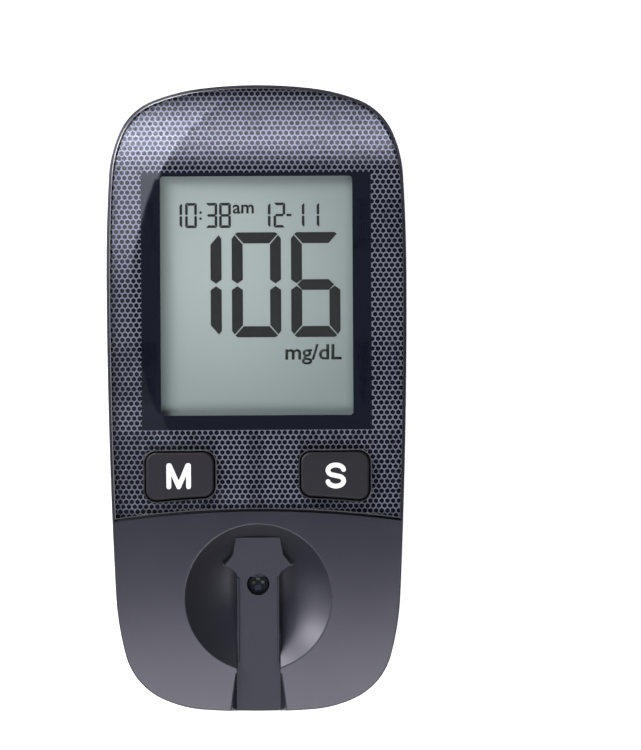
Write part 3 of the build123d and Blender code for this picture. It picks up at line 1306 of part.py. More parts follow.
with BuildPart() as case_screws:
    with BuildSketch(Plane.XY.offset(SCREW_HEAD_Z)):
        with Locations(*SCREW_PLACES):
            Circle(SCREW_HEAD_RADIUS)
    extrude(amount=SCREW_HEAD_HEIGHT)
    with BuildSketch(Plane.XY.offset(SCREW_HEAD_Z)):
        with Locations(*SCREW_PLACES):
            Rectangle(*SCREW_SLOT)
            Rectangle(*SCREW_SLOT, rotation=90)
    extrude(amount=SCREW_SLOT_DEPTH, mode=Mode.SUBTRACT)
    with BuildSketch(Plane.XY.offset(SCREW_HEAD_Z + SCREW_HEAD_HEIGHT)):
        with Locations(*SCREW_PLACES):
            Circle(SCREW_RADIUS)
    extrude(amount=SCREW_TIP_Z - SCREW_HEAD_Z - SCREW_HEAD_HEIGHT)
case_screws.part.label = "case_screws"
export_step(case_screws.part, "parts/case_screws.step")

with BuildPart() as board_screws:
    with BuildSketch(Plane.XY.offset(BOARD_Z)):
        with Locations(*BOARD_SCREW_PLACES):
            Circle(BOARD_SCREW_HEAD_RADIUS)
    extrude(amount=-BOARD_SCREW_HEAD_HEIGHT)
    with BuildSketch(Plane.XY.offset(BOARD_Z)):
        with Locations(*BOARD_SCREW_PLACES):
            Circle(BOARD_SCREW_RADIUS)
    extrude(amount=SCREW_TIP_Z - BOARD_Z)
board_screws.part.label = "board_screws"
export_step(board_screws.part, "parts/board_screws.step")
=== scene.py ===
"""A blood glucose meter lying on its back, dressed for a studio picture.

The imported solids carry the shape. This script gives each of them its finish, adds the figures of the
display and the key legends, and sets up floor, lamps and camera. Sizes are in millimetres where
nothing else is said. A pair of numbers named as an edge says where a smooth step is 0 and where 1.
"""

import logging
import math
from abc import ABC, abstractmethod
from collections.abc import Callable
from dataclasses import dataclass
from enum import Enum
from functools import cached_property, partialmethod

import bpy
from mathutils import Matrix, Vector


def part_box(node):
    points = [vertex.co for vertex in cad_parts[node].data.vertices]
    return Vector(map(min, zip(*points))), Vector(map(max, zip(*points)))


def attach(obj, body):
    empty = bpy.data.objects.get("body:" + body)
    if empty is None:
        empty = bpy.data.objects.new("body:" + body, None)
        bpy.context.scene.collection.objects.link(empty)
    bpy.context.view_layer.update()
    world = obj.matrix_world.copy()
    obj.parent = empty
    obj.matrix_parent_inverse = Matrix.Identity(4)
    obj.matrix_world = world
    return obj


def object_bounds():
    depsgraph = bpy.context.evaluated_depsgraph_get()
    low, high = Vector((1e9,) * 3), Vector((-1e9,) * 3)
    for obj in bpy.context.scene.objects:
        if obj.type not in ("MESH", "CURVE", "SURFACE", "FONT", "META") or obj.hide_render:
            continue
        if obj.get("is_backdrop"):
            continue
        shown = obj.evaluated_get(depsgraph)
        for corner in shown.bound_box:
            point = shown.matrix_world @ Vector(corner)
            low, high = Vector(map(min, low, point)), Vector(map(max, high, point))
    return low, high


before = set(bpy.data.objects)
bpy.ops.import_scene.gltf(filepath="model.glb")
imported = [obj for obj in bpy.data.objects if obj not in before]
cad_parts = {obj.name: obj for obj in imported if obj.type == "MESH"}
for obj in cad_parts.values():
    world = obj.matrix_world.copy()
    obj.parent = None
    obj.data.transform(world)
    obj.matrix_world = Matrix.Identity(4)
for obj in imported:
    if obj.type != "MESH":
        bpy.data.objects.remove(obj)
CAD_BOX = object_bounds()

MM = 0.001
log = logging.getLogger("glucose_meter")

Colour = tuple[float, float, float]
Point = tuple[float, float]
Point3 = tuple[float, float, float]
Socket = bpy.types.NodeSocket
Piece = bpy.types.Object
Sockets = dict[str, object]
Box = tuple[float, float, float, float]
Row = tuple[tuple[str, float], ...]


def paint(red: int, green: int, blue: int) -> Colour:
    """Turns a colour as it is seen on a screen into the linear values that shaders use.

    Args:
        red, green, blue: its shares, from 0 to 255.

    Returns:
        The linear colour.
    """
    toe, slope, offset, power = 0.04045, 12.92, 0.055, 2.4
    shares = (channel / 255 for channel in (red, green, blue))
    return tuple(s / slope if s <= toe else ((s + offset) / (1 + offset)) ** power for s in shares)


# ---- shader maths


class Field:
    """A number that changes over a surface, written as an expression."""

    def __init__(self, graph: "Graph", socket: Socket) -> None:
        """Keeps the socket that gives the number, and the graph that it belongs to."""
        self.graph = graph
        self.socket = socket

    def maths(self, operation: str, *others: "Field | float", clamp: bool = False) -> "Field":
        """Adds a Math node that takes this number first. Clamped, its result stays from 0 to 1."""
        return self.graph.maths(operation, self, *others, clamp=clamp)

    # Sum, product, difference, quotient, size without sign, and the smaller and the larger of two.
    __add__ = __radd__ = partialmethod(maths, "ADD")
    __mul__ = __rmul__ = partialmethod(maths, "MULTIPLY")
    __sub__ = partialmethod(maths, "SUBTRACT")
    __truediv__ = partialmethod(maths, "DIVIDE")
    __abs__ = partialmethod(maths, "ABSOLUTE")
    least = partialmethod(maths, "MINIMUM")
    most = partialmethod(maths, "MAXIMUM")

    def __rsub__(self, other: float) -> "Field":
        """Difference from a plain number."""
        return self.graph.maths("SUBTRACT", other, self)

    def hypot(self, other: "Field") -> "Field":
        """The distance that two numbers at right angles make."""
        return (self * self + other * other).maths("SQRT")

    def fold(self, pitch: float) -> "Field":
        """Distance from the nearest multiple of a pitch, with its sign."""
        return self - (self / pitch + 0.5).maths("FLOOR") * pitch

    def rise(self, start: float, end: float) -> "Field":
        """A smooth step from 0 at start to 1 at end, which may be less than start."""
        share = self.maths("MULTIPLY_ADD", 1 / (end - start), -start / (end - start), clamp=True)
        return share * share * (3 - 2 * share)


class Graph:
    """The nodes of one material, or of the world."""

    def __init__(self, name: str, world: bool = False) -> None:
        """Starts an empty material or world.

        Args:
            name: its name.
            world: whether it is the world and not a material.
        """
        self.owner = (bpy.data.worlds if world else bpy.data.materials).new(name)
        self.owner.use_nodes = True
        self.tree = self.owner.node_tree
        self.tree.nodes.clear()
        self.output = self.tree.nodes.new("ShaderNodeOutput" + ("World" if world else "Material"))

    def node(self, kind: str, sockets: dict | None = None, **settings: object) -> bpy.types.NodeOutputs:
        """Adds any node.

        Args:
            kind: the node's type, less the ShaderNode that all begin with.
            sockets: values or links of its inputs, by name or number.
            settings: its own properties, which are set first.

        Returns:
            The node's outputs.
        """
        made = self.tree.nodes.new("ShaderNode" + kind)
        for key, value in settings.items():
            setattr(made, key, value)
        for key, value in (sockets or {}).items():
            socket = made.inputs[key]
            if isinstance(value, Field):
                value = value.socket
            if isinstance(value, Socket):
                self.tree.links.new(value, socket)
            elif isinstance(value, tuple) and socket.type == "RGBA":
                socket.default_value = (*value, 1.0)
            else:
                socket.default_value = value
        return made.outputs

    def maths(self, operation: str, *terms: Field | float, clamp: bool = False) -> Field:
        """Adds a Math node on numbers and fields."""
        sockets = dict(enumerate(terms))
        return Field(self, self.node("Math", sockets, operation=operation, use_clamp=clamp)[0])

    @cached_property
    def spot(self) -> Socket:
        """The place on the object as a vector, in metres."""
        return self.node("TexCoord")["Object"]

    @cached_property
    def place(self) -> tuple[Field, Field]:
        """The place on the object along X and along Y."""
        parts = self.node("SeparateXYZ", {0: self.spot})
        return Field(self, parts["X"]) / MM, Field(self, parts["Y"]) / MM

    def around(self, centre: Point) -> tuple[Field, Field]:
        """The same, measured from a centre."""
        return self.place[0] - centre[0], self.place[1] - centre[1]

    def noise(self, size: float, detail: float = 2.0, stretch: Vector | None = None) -> Field:
        """Even noise.

        Args:
            size: how large its lumps are.
            detail: how many finer layers it has.
            stretch: how much finer it is along each axis.

        Returns:
            A number around 0.5.
        """
        where = self.spot
        if stretch is not None:
            where = self.node("Mapping", {"Vector": where, "Scale": stretch})[0]
        sockets = {"Vector": where, "Scale": 1 / (size * MM), "Detail": detail}
        return Field(self, self.node("TexNoise", sockets)[0])

    def facing(self) -> Field:
        """How far the surface turns away from the eye: 0 seen straight on, 1 seen along it."""
        return Field(self, self.node("LayerWeight", {"Blend": 0.5})["Facing"])

    def blend(self, share: Field, first: Colour | Socket, second: Colour | Socket) -> Socket:
        """The first colour where share is 0, and the second where it is 1."""
        # A Mix node keeps its colours on inputs 6 and 7, and their mixture on output 2.
        return self.node("Mix", {0: share, 6: first, 7: second}, data_type="RGBA")[2]

    def tinted(self, colour: Colour | Socket, amount: Field) -> Socket:
        """Multiplies a colour by a number that changes over the surface."""
        sockets = {0: colour, "Scale": amount}
        return self.node("VectorMath", sockets, operation="SCALE")[0]

    def bump(self, height: Field, depth: float, strength: float = 1.0) -> Socket:
        """The normal that a height from 0 to 1 gives, at a depth."""
        sockets = {"Height": height, "Distance": depth * MM, "Strength": strength}
        return self.node("Bump", sockets)[0]

    def either(self, share: Field, first: Socket, second: Socket) -> Socket:
        """The first shader where share is 0, and the second where it is 1."""
        return self.node("MixShader", {0: share, 1: first, 2: second})[0]

    def finish(self, shader: Socket) -> bpy.types.Material | bpy.types.World:
        """Connects the shader and gives the material or world."""
        self.tree.links.new(shader, self.output.inputs["Surface"])
        return self.owner


# ---- finishes


class Finish(ABC):
    """What a surface is made of."""

    name: str

    @abstractmethod
    def shader(self, g: Graph) -> Socket:
        """The finish as a shader, made of nodes in a graph."""

    def material(self) -> bpy.types.Material:
        """The finish as a material of its own."""
        g = Graph(self.name)
        return g.finish(self.shader(g))


class Solid(Finish):
    """A finish that the usual shader can show. Its roughness wavers a little with its grain."""

    waver: float = 0.1

    @abstractmethod
    def sockets(self, g: Graph) -> Sockets:
        """What the sockets of the usual shader take, by their names."""

    def shader(self, g: Graph) -> Socket:
        """The usual shader with those sockets."""
        return g.node("BsdfPrincipled", self.sockets(g))[0]


class Weave(Enum):
    """How a metal was finished."""

    ROLLED = "rolled"
    TURNED = "turned"
    PLATED = "plated"


@dataclass(frozen=True)
class Moulded(Solid):
    """Moulded plastic or rubber with a fine spark-eroded grain."""

    name: str
    colour: Colour
    roughness: float = 0.45
    grain: float = 0.16
    relief: float = 0.012
    mottle: float = 0.05
    speckle: float = 0.10
    specular: float = 0.5
    sheen: Colour = (0.9, 0.88, 1.0)
    waver: float = 0.16
    flow: float = 14.0
    flow_waver: float = 0.08
    # How much the dull mask darkens the colour: painted shade.
    painted_shade: float = 0.4
    dull_roughness: float = 0.2

    def dull_and_shade(self, g: Graph) -> Field | float:
        """Where the surface is duller than the rest, and painted darker as shade: nowhere on plain
        plastic.
        """
        return 0.0

    def sockets(self, g: Graph) -> Sockets:
        """Grain, faint flow marks, uneven sheen, and painted shade where the surface is dull.

        Args:
            g: its nodes.

        Returns:
            The shader's sockets.
        """
        grain, flow = g.noise(self.grain, 3.0), g.noise(self.flow)
        dull_and_shade = self.dull_and_shade(g)
        amount = 1 + (flow - 0.5) * self.mottle * 2 + (grain - 0.5) * self.speckle * 2
        roughness = self.roughness + (flow - 0.5) * self.flow_waver + (grain - 0.5) * self.waver
        return {
            # The dull mask darkens the base colour as painted shade, and also raises the roughness.
            "Base Color": g.tinted(self.colour, amount * (1 - dull_and_shade * self.painted_shade)),
            "Roughness": roughness + dull_and_shade * self.dull_roughness,
            "Specular IOR Level": self.specular,
            "Specular Tint": self.sheen,
            "Normal": g.bump(grain, self.relief),
        }


@dataclass(frozen=True)
class Dished(Moulded):
    """Moulded plastic with one round dish that the tool leaves blasted and dull, painted darker inside
    as shade.
    """

    dish_centre: Point = (0.0, -31.1)
    dish_radius: float = 11.7
    dish_blur: float = 0.4

    def dull_and_shade(self, g: Graph) -> Field | float:
        """Inside the dish, which is rougher and painted darker as shade."""
        x, y = g.around(self.dish_centre)
        return x.hypot(y).rise(self.dish_radius, self.dish_radius - self.dish_blur)


@dataclass(frozen=True)
class Metal(Solid):
    """Bare or plated metal."""

    name: str
    colour: Colour
    roughness: float
    weave: Weave = Weave.PLATED
    centre: Point = (0.0, 0.0)
    ring_scale: float = 9.0
    brush: float = 0.9
    brush_stretch: Point3 = (1.0, 14.0, 1.0)
    plating: float = 0.2
    cloud: float = 2.5
    line_shade: float = 0.22
    cloud_shade: float = 0.16
    waver: float = 0.2
    relief: float = 0.006
    relief_strength: float = 0.5

    def lines(self, g: Graph) -> Field:
        """Rolled metal has straight brush lines, turned metal has rings, plated metal fine specks.

        Args:
            g: its nodes.

        Returns:
            A number around 0.5.
        """
        if self.weave is Weave.TURNED:
            x, y = g.around(self.centre)
            rings = {"W": x.hypot(y), "Scale": self.ring_scale}
            return Field(g, g.node("TexNoise", rings, noise_dimensions="1D")[0])
        if self.weave is Weave.ROLLED:
            return g.noise(self.brush, stretch=Vector(self.brush_stretch))
        return g.noise(self.plating)

    def sockets(self, g: Graph) -> Sockets:
        """The metal's lines, and a faint cloud over them.

        Args:
            g: its nodes.

        Returns:
            The shader's sockets.
        """
        cloud, lines = g.noise(self.cloud), self.lines(g)
        amount = 1 + (lines - 0.5) * self.line_shade + (cloud - 0.5) * self.cloud_shade
        return {
            "Base Color": g.tinted(self.colour, amount),
            "Metallic": 1.0,
            "Roughness": self.roughness + (lines - 0.5) * self.waver,
            "Normal": g.bump(lines, self.relief, self.relief_strength),
        }


@dataclass(frozen=True)
class Clear(Finish):
    """Clear polished plastic or glass that lets light straight through."""

    name: str
    tint: Colour = (1.0, 1.0, 1.0)
    roughness: float = 0.02
    cut_edge: bool = False
    glance: float = 5.0
    mirror: float = 1.03
    smudge: float = 9.0
    smudge_shade: float = 0.06
    wall_edge: Point = (0.97, 0.94)
    # Near black on bare cut edges: painted shade of the gaps round them.
    cut_edge_shade: Colour = (0.03, 0.03, 0.035)
    wall_roughness: float = 0.32
    wall_specular: float = 0.9

    def shader(self, g: Graph) -> Socket:
        """A coated face reflects only what glances off it; cut edges are left bare, matt and near black
        as painted shade.

        Args:
            g: its nodes.

        Returns:
            The shader.
        """
        clear = g.node("BsdfTransparent", {"Color": self.tint})[0]
        mirror = g.node("BsdfGlossy", {"Roughness": self.roughness})[0]
        smudge = g.noise(self.smudge, 3.0) * self.smudge_shade
        share = g.facing().maths("POWER", self.glance) * (self.mirror - smudge)
        face = g.either(share, clear, mirror)
        if not self.cut_edge:
            return face
        sockets = {
            # Near-black cut edges: painted shade.
            "Base Color": self.cut_edge_shade,
            "Roughness": self.wall_roughness,
            "Specular IOR Level": self.wall_specular,
        }
        bare = g.node("BsdfPrincipled", sockets)[0]
        upright = Field(g, g.node("SeparateXYZ", {0: g.node("TexCoord")["Normal"]})["Z"])
        return g.either(abs(upright).rise(*self.wall_edge), face, bare)


@dataclass(frozen=True)
class HoneycombPrint(Solid):
    """The film behind the face: a honeycomb of pale lines on a dark ground, and a plain border."""

    name: str = "honeycomb_print"
    pitch: float = 0.8865
    row: float = 0.766
    origin: Point = (-0.145, 36.06)
    line: float = 0.2
    line_blur: float = 0.05
    line_waver: float = 0.05
    eye_edge: Point = (0.2, 0.06)
    eye_share: float = 0.8
    gloss: float = 0.3
    shine: float = 0.2
    ground: Colour = paint(8, 10, 20)
    eye: Colour = paint(34, 36, 50)
    lines: Colour = paint(123, 125, 141)
    border: Colour = paint(24, 27, 37)
    border_centre: Point = (-0.05, 15.2)
    border_half: Point = (17.95, 20.1)
    border_edge: Point = (0.03, -0.03)
    grain: float = 0.25
    ink_shade: float = 0.12
    roughness: float = 0.02
    waver: float = 0.01

    def cell(self, g: Graph) -> tuple[Field, Field]:
        """Where a point lies in its cell of the honeycomb.

        Args:
            g: its nodes.

        Returns:
            The distance to the cell's wall, and the distance from its middle.
        """
        x, y = g.around(self.origin)
        slant = math.sqrt(3) / 2
        squash = self.pitch * slant / self.row
        walls, middles = [], []
        for shift in (0.0, 0.5):
            dx = abs((x - shift * self.pitch).fold(self.pitch))
            dy = abs((y - 2 * shift * self.row).fold(2 * self.row)) * squash
            walls.append(dx.most(dx * 0.5 + dy * slant))
            middles.append(dx.hypot(dy))
        return self.pitch / 2 - walls[0].least(walls[1]), middles[0].least(middles[1])

    def sockets(self, g: Graph) -> Sockets:
        """Ink on film, a little uneven as screen printing is.

        Args:
            g: its nodes.

        Returns:
            The shader's sockets.
        """
        wall, middle = self.cell(g)
        uneven = g.noise(self.grain) - 0.5
        half, blur = self.line / 2, self.line_blur
        line = (wall + uneven * self.line_waver).rise(half + blur, half - blur)
        eye = middle.rise(*self.eye_edge) * self.eye_share
        comb = g.blend(line, g.blend(eye, self.ground, self.eye), self.lines)
        x, y = g.around(self.border_centre)
        across, along = abs(x) - self.border_half[0], abs(y) - self.border_half[1]
        inside = across.most(along).rise(*self.border_edge)
        printed = g.blend(inside, comb, self.border)
        return {
            "Base Color": g.tinted(printed, 1 + uneven * self.ink_shade),
            "Metallic": line * (1 - inside) * self.shine,
            "Roughness": self.roughness + uneven * self.waver,
            "Specular IOR Level": self.gloss,
        }


@dataclass(frozen=True)
class Coat(Solid):
    """A thin even coat, such as printed or switched figures."""

    name: str
    colour: Colour
    roughness: float = 0.5
    spread: float = 0.16
    grain: float = 0.3
    specular: float = 0.3

    def ground(self, g: Graph) -> Colour | Socket:
        """Its colour before the grain: the same all over on plain ink."""
        return self.colour

    def sockets(self, g: Graph) -> Sockets:
        """The slight unevenness of a real print.

        Args:
            g: its nodes.

        Returns:
            The shader's sockets.
        """
        uneven = g.noise(self.grain) - 0.5
        return {
            "Base Color": g.tinted(self.ground(g), 1 + uneven * self.spread),
            "Roughness": self.roughness + uneven * self.waver,
            "Specular IOR Level": self.specular,
        }


@dataclass(frozen=True)
class DisplayCoat(Coat):
    """The pale field behind the figures, with painted fine sparkle of the reflector and a painted light
    falloff.
    """

    # The colour where the painted light falloff ends: painted shade.
    painted_falloff_colour: Colour = paint(114, 125, 125)
    centre: Point = (-7.0, 22.0)
    reach: float = 33.0
    painted_falloff_edge: Point = (0.0, 1.1)

    def ground(self, g: Graph) -> Colour | Socket:
        """Grey green, with a painted light falloff: lightest left of the middle, darker outwards.

        Args:
            g: its nodes.

        Returns:
            The colour's socket.
        """
        x, y = g.around(self.centre)
        # Painted light falloff: the lit colour at the centre, fading to the painted shade colour beyond
        # reach.
        painted_falloff = (x / self.reach).hypot(y / self.reach).rise(*self.painted_falloff_edge)
        return g.blend(painted_falloff, self.colour, self.painted_falloff_colour)


@dataclass(frozen=True)
class SolderMask(Solid):
    """Circuit board: green mask over copper tracks, with bare pads."""

    name: str = "solder_mask"
    mask: Colour = paint(20, 84, 48)
    track: Colour = paint(34, 112, 66)
    pad: Colour = (0.83, 0.68, 0.35)
    track_pitch: float = 0.8
    track_edge: Point = (0.16, 0.12)
    track_patch: float = 3.2
    along_edge: Point = (0.48, 0.5)
    across_edge: Point = (0.47, 0.45)
    via_pitch: float = 2.4
    via_edge: Point = (0.3, 0.26)
    via_patch: float = 5.0
    some_edge: Point = (0.52, 0.53)
    roughness: float = 0.3
    via_roughness: float = 0.1
    grain: float = 0.5
    waver: float = 0.06
    relief: float = 0.03

    def sockets(self, g: Graph) -> Sockets:
        """Tracks follow a coarse grid, and vias sit on it here and there.

        Args:
            g: its nodes.

        Returns:
            The shader's sockets.
        """
        x, y = g.place
        patch = g.noise(self.track_patch, 0.0)
        along = abs(x.fold(self.track_pitch)).rise(*self.track_edge) * patch.rise(*self.along_edge)
        across = abs(y.fold(self.track_pitch)).rise(*self.track_edge) * patch.rise(*self.across_edge)
        track = along.most(across)
        spots = x.fold(self.via_pitch).hypot(y.fold(self.via_pitch)).rise(*self.via_edge)
        via = spots * g.noise(self.via_patch, 0.0).rise(*self.some_edge)
        roughness = self.roughness + via * self.via_roughness + g.noise(self.grain) * self.waver
        return {
            "Base Color": g.blend(via, g.blend(track, self.mask, self.track), self.pad),
            "Metallic": via,
            "Roughness": roughness,
            "Normal": g.bump(track.most(via), self.relief),
        }


@dataclass(frozen=True)
class Tinned(Solid):
    """Matt resin or ceramic with tinned leads or ends."""

    name: str
    body: Colour
    tin: Colour
    roughness: float
    polish: float
    grain: float
    detail: float = 2.0
    relief: float = 0.0
    least_shade: float = 0.85
    grain_shade: float = 0.3

    @abstractmethod
    def metal(self, g: Graph) -> Field:
        """Where the tin is."""

    def sockets(self, g: Graph) -> Sockets:
        """Speckled body and smoother tin.

        Args:
            g: its nodes.

        Returns:
            The shader's sockets.
        """
        metal, grain = self.metal(g), g.noise(self.grain, self.detail)
        body = g.tinted(self.body, self.least_shade + grain * self.grain_shade)
        made = {
            "Base Color": g.blend(metal, body, self.tin),
            "Metallic": metal,
            "Roughness": self.roughness - metal * self.polish + (grain - 0.5) * self.waver,
        }
        return made | {"Normal": g.bump(grain, self.relief)} if self.relief else made


@dataclass(frozen=True)
class LeadedPackage(Tinned):
    """A square chip with its leads outside its body."""

    centre: Point = (1.5, -6.0)
    half: float = 4.02
    blur: float = 0.02

    def metal(self, g: Graph) -> Field:
        """Outside the body's square."""
        x, y = g.around(self.centre)
        return abs(x).most(abs(y)).rise(self.half, self.half + self.blur)


@dataclass(frozen=True)
class ChipRow(Tinned):
    """Two groups of chips along the board, each with one pitch and a phase of its own."""

    pitch: float = 2.5
    phases: Point = (3.75, 9.25)
    split_y: float = -10.0
    blur: float = 0.1
    end_edge: Point = (0.48, 0.5)

    def metal(self, g: Graph) -> Field:
        """Both ends of each chip.

        Args:
            g: its nodes.

        Returns:
            1 on the ends, 0 between them.
        """
        x, y = g.place
        upper = y.rise(self.split_y, self.split_y + self.blur)
        first, second = (abs((x - phase).fold(self.pitch)) for phase in self.phases)
        return (first * upper + second * (1 - upper)).rise(*self.end_edge)


@dataclass(frozen=True)
class Layered(Solid):
    """Elastomer of fine conducting and insulating layers, upright and along the strip."""

    name: str = "layered_elastomer"
    pale: Colour = paint(196, 192, 186)
    dark: Colour = paint(38, 38, 40)
    pitch: float = 0.2
    layer_edge: Point = (0.06, 0.04)
    roughness: float = 0.6
    grain: float = 0.4

    def sockets(self, g: Graph) -> Sockets:
        """A dark layer in each pitch.

        Args:
            g: its nodes.

        Returns:
            The shader's sockets.
        """
        dark = abs(g.place[0].fold(self.pitch)).rise(*self.layer_edge)
        roughness = self.roughness + (g.noise(self.grain) - 0.5) * self.waver
        return {"Base Color": g.blend(dark, self.pale, self.dark), "Roughness": roughness}


# ---- modelling by hand

# An edge that leaves its axis by less than STRAIGHT needs no cut, and a point nearer to a cut than
# CUT_REACH, in metres, counts as on it.
STRAIGHT = 1e-6
CUT_REACH = 1e-7
DOT_SIDES = 24
LETTER_STEPS = 6


def deselect() -> None:
    """Deselects everything, in object mode."""
    if bpy.context.object is not None and bpy.context.object.mode != "OBJECT":
        bpy.ops.object.mode_set(mode="OBJECT")
    bpy.ops.object.select_all(action="DESELECT")


def only(*pieces: Piece) -> None:
    """Selects some pieces and nothing else.

    Args:
        pieces: the pieces, the active one first.
    """
    deselect()
    for piece in pieces:
        piece.select_set(True)
    bpy.context.view_layer.objects.active = pieces[0]


def add(operator: Callable, **settings: object) -> Piece:
    """Adds an object with an operator, with nothing else selected.

    Args:
        operator: the operator.
        settings: what it takes.

    Returns:
        The object.
    """
    deselect()
    operator(**settings)
    return bpy.context.object


def settle(piece: Piece) -> None:
    """Puts a piece's place, turn and size into its mesh."""
    only(piece)
    bpy.ops.object.transform_apply(location=True, rotation=True, scale=True)


def lift(piece: Piece, height: float) -> None:
    """Lifts a flat piece off the ground plane."""
    piece.location = (0, 0, height * MM)
    settle(piece)


def extent(points: list[Point] | list[Vector]) -> tuple[Point, Point]:
    """The least and the most X and Y of some points."""
    across, along = [point[0] for point in points], [point[1] for point in points]
    return (min(across), min(along)), (max(across), max(along))


def tile(width: float, length: float, centre: Point) -> Piece:
    """A flat rectangle in the ground plane.

    Args:
        width: its size along X.
        length: its size along Y.
        centre: its middle.

    Returns:
        The tile, with its place in its mesh.
    """
    place = (centre[0] * MM, centre[1] * MM, 0)
    made = add(bpy.ops.mesh.primitive_plane_add, size=1, location=place)
    made.scale = (width * MM, length * MM, 1)
    settle(made)
    return made


def panel(corners: list[Point]) -> Piece:
    """A flat piece with straight edges and no hollow corner: a rectangle, trimmed edge by edge.

    Args:
        corners: its corners, going round against the clock.

    Returns:
        The panel, with its place in its mesh.
    """
    low, high = extent(corners)
    centre = ((low[0] + high[0]) / 2, (low[1] + high[1]) / 2)
    made = tile(high[0] - low[0], high[1] - low[1], centre)
    bpy.ops.object.mode_set(mode="EDIT")
    for start, end in zip(corners, corners[1:] + corners[:1]):
        run, rise = end[0] - start[0], end[1] - start[1]
        if min(abs(run), abs(rise)) > STRAIGHT:
            bpy.ops.mesh.select_all(action="SELECT")
            bpy.ops.mesh.bisect(
                plane_co=(start[0] * MM, start[1] * MM, 0),
                plane_no=Vector((rise, -run, 0)).normalized(),
                clear_outer=True,
                threshold=CUT_REACH,
            )
    bpy.ops.object.mode_set(mode="OBJECT")
    return made


def dot(radius: float, centre: Point) -> Piece:
    """A flat round dot in the ground plane.

    Args:
        radius: its radius.
        centre: its middle.

    Returns:
        The dot, with its place in its mesh.
    """
    made = add(
        bpy.ops.mesh.primitive_circle_add,
        vertices=DOT_SIDES,
        radius=radius * MM,
        fill_type="NGON",
        location=(centre[0] * MM, centre[1] * MM, 0),
    )
    settle(made)
    return made


def join(pieces: list[Piece], name: str) -> Piece:
    """Makes one named piece of several.

    Args:
        pieces: the pieces, at least one.
        name: the name of the whole.

    Returns:
        The whole.
    """
    only(*pieces)
    if len(pieces) > 1:
        bpy.ops.object.join()
    whole = bpy.context.object
    whole.name = whole.data.name = name
    return whole


def modify(piece: Piece, kind: str, **settings: object) -> None:
    """Adds a modifier and applies it.

    Args:
        piece: the piece.
        kind: the modifier's type.
        settings: its properties.
    """
    only(piece)
    modifier = piece.modifiers.new(kind.lower(), kind)
    for key, value in settings.items():
        setattr(modifier, key, value)
    bpy.ops.object.modifier_apply(modifier=modifier.name)


def lettering(text: str, box: Box, weight: float) -> Piece:
    """Flat lettering that fills a box.

    Args:
        text: the letters.
        box: its left, lower, right and upper edges.
        weight: how much bolder than the plain letters, as a share of their height.

    Returns:
        The lettering as a mesh in the ground plane.
    """
    letters = add(bpy.ops.object.text_add)
    letters.data.body = text
    letters.data.offset = weight
    letters.data.resolution_u = LETTER_STEPS
    bpy.ops.object.convert(target="MESH")
    letters = bpy.context.object
    low, high = extent([vertex.co for vertex in letters.data.vertices])
    left, lower, right, upper = (edge * MM for edge in box)
    across, along = (right - left) / (high[0] - low[0]), (upper - lower) / (high[1] - low[1])
    letters.scale = (across, along, 1)
    letters.location = (left - low[0] * across, lower - low[1] * along, 0)
    settle(letters)
    return letters


def dress(finish: Finish, *names: str) -> None:
    """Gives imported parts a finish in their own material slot.

    Args:
        finish: what the parts are made of.
        names: the parts.
    """
    material = finish.material()
    for name in names:
        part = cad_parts[name]
        part.data.materials.clear()
        part.data.materials.append(material)
        log.info("dressed %s in %s", name, material.name)


def add_piece(piece: Piece, body: str, material: bpy.types.Material) -> None:
    """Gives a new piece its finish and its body.

    Args:
        piece: the piece, in place.
        body: the body that it moves with.
        material: its finish.
    """
    piece.data.materials.clear()
    piece.data.materials.append(material)
    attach(piece, body)
    log.info("made %s on %s, %d faces", piece.name, body, len(piece.data.polygons))


# ---- sub-assemblies


@dataclass
class Case:
    """Both shells, the plate on the back, and what holds them together."""

    # Its dish is painted darker as shade.
    upper: Moulded = Dished("upper_shell_plastic", paint(36, 36, 46), 0.22, relief=0.003)
    lower: Moulded = Moulded("lower_shell_plastic", paint(40, 40, 49), 0.3, relief=0.008)
    plate: Metal = Metal("brushed_plate", (0.62, 0.63, 0.64), 0.34, Weave.ROLLED)
    screw: Metal = Metal("black_zinc", (0.16, 0.16, 0.17), 0.35)

    def dress(self) -> None:
        """Finishes of the case."""
        dress(self.upper, "front_shell")
        dress(self.lower, "rear_shell")
        dress(self.plate, "rating_plate")
        dress(self.screw, "case_screws", "board_screws")


@dataclass
class Face:
    """The clear lens over the upper face, and the film behind it."""

    lens: Clear = Clear("polished_lens", cut_edge=True)
    film: HoneycombPrint = HoneycombPrint()
    adhesive: Moulded = Moulded("adhesive_tape", paint(30, 30, 33), 0.7)

    def dress(self) -> None:
        """Finishes of the face."""
        dress(self.lens, "display_lens")
        dress(self.film, "printed_film")
        dress(self.adhesive, "lens_adhesive")


class Bar(Enum):
    """The seven bars of a figure, by the letters that display makers use."""

    TOP = "a"
    UPPER_RIGHT = "b"
    LOWER_RIGHT = "c"
    BOTTOM = "d"
    LOWER_LEFT = "e"
    UPPER_LEFT = "f"
    MIDDLE = "g"


LIT = {"0": "abcdef", "1": "bc", "2": "abged", "3": "abgcd", "6": "afgecd", "8": "abcdefg"}
ABOVE = {Bar.BOTTOM: Bar.TOP, Bar.LOWER_RIGHT: Bar.UPPER_RIGHT, Bar.LOWER_LEFT: Bar.UPPER_LEFT}


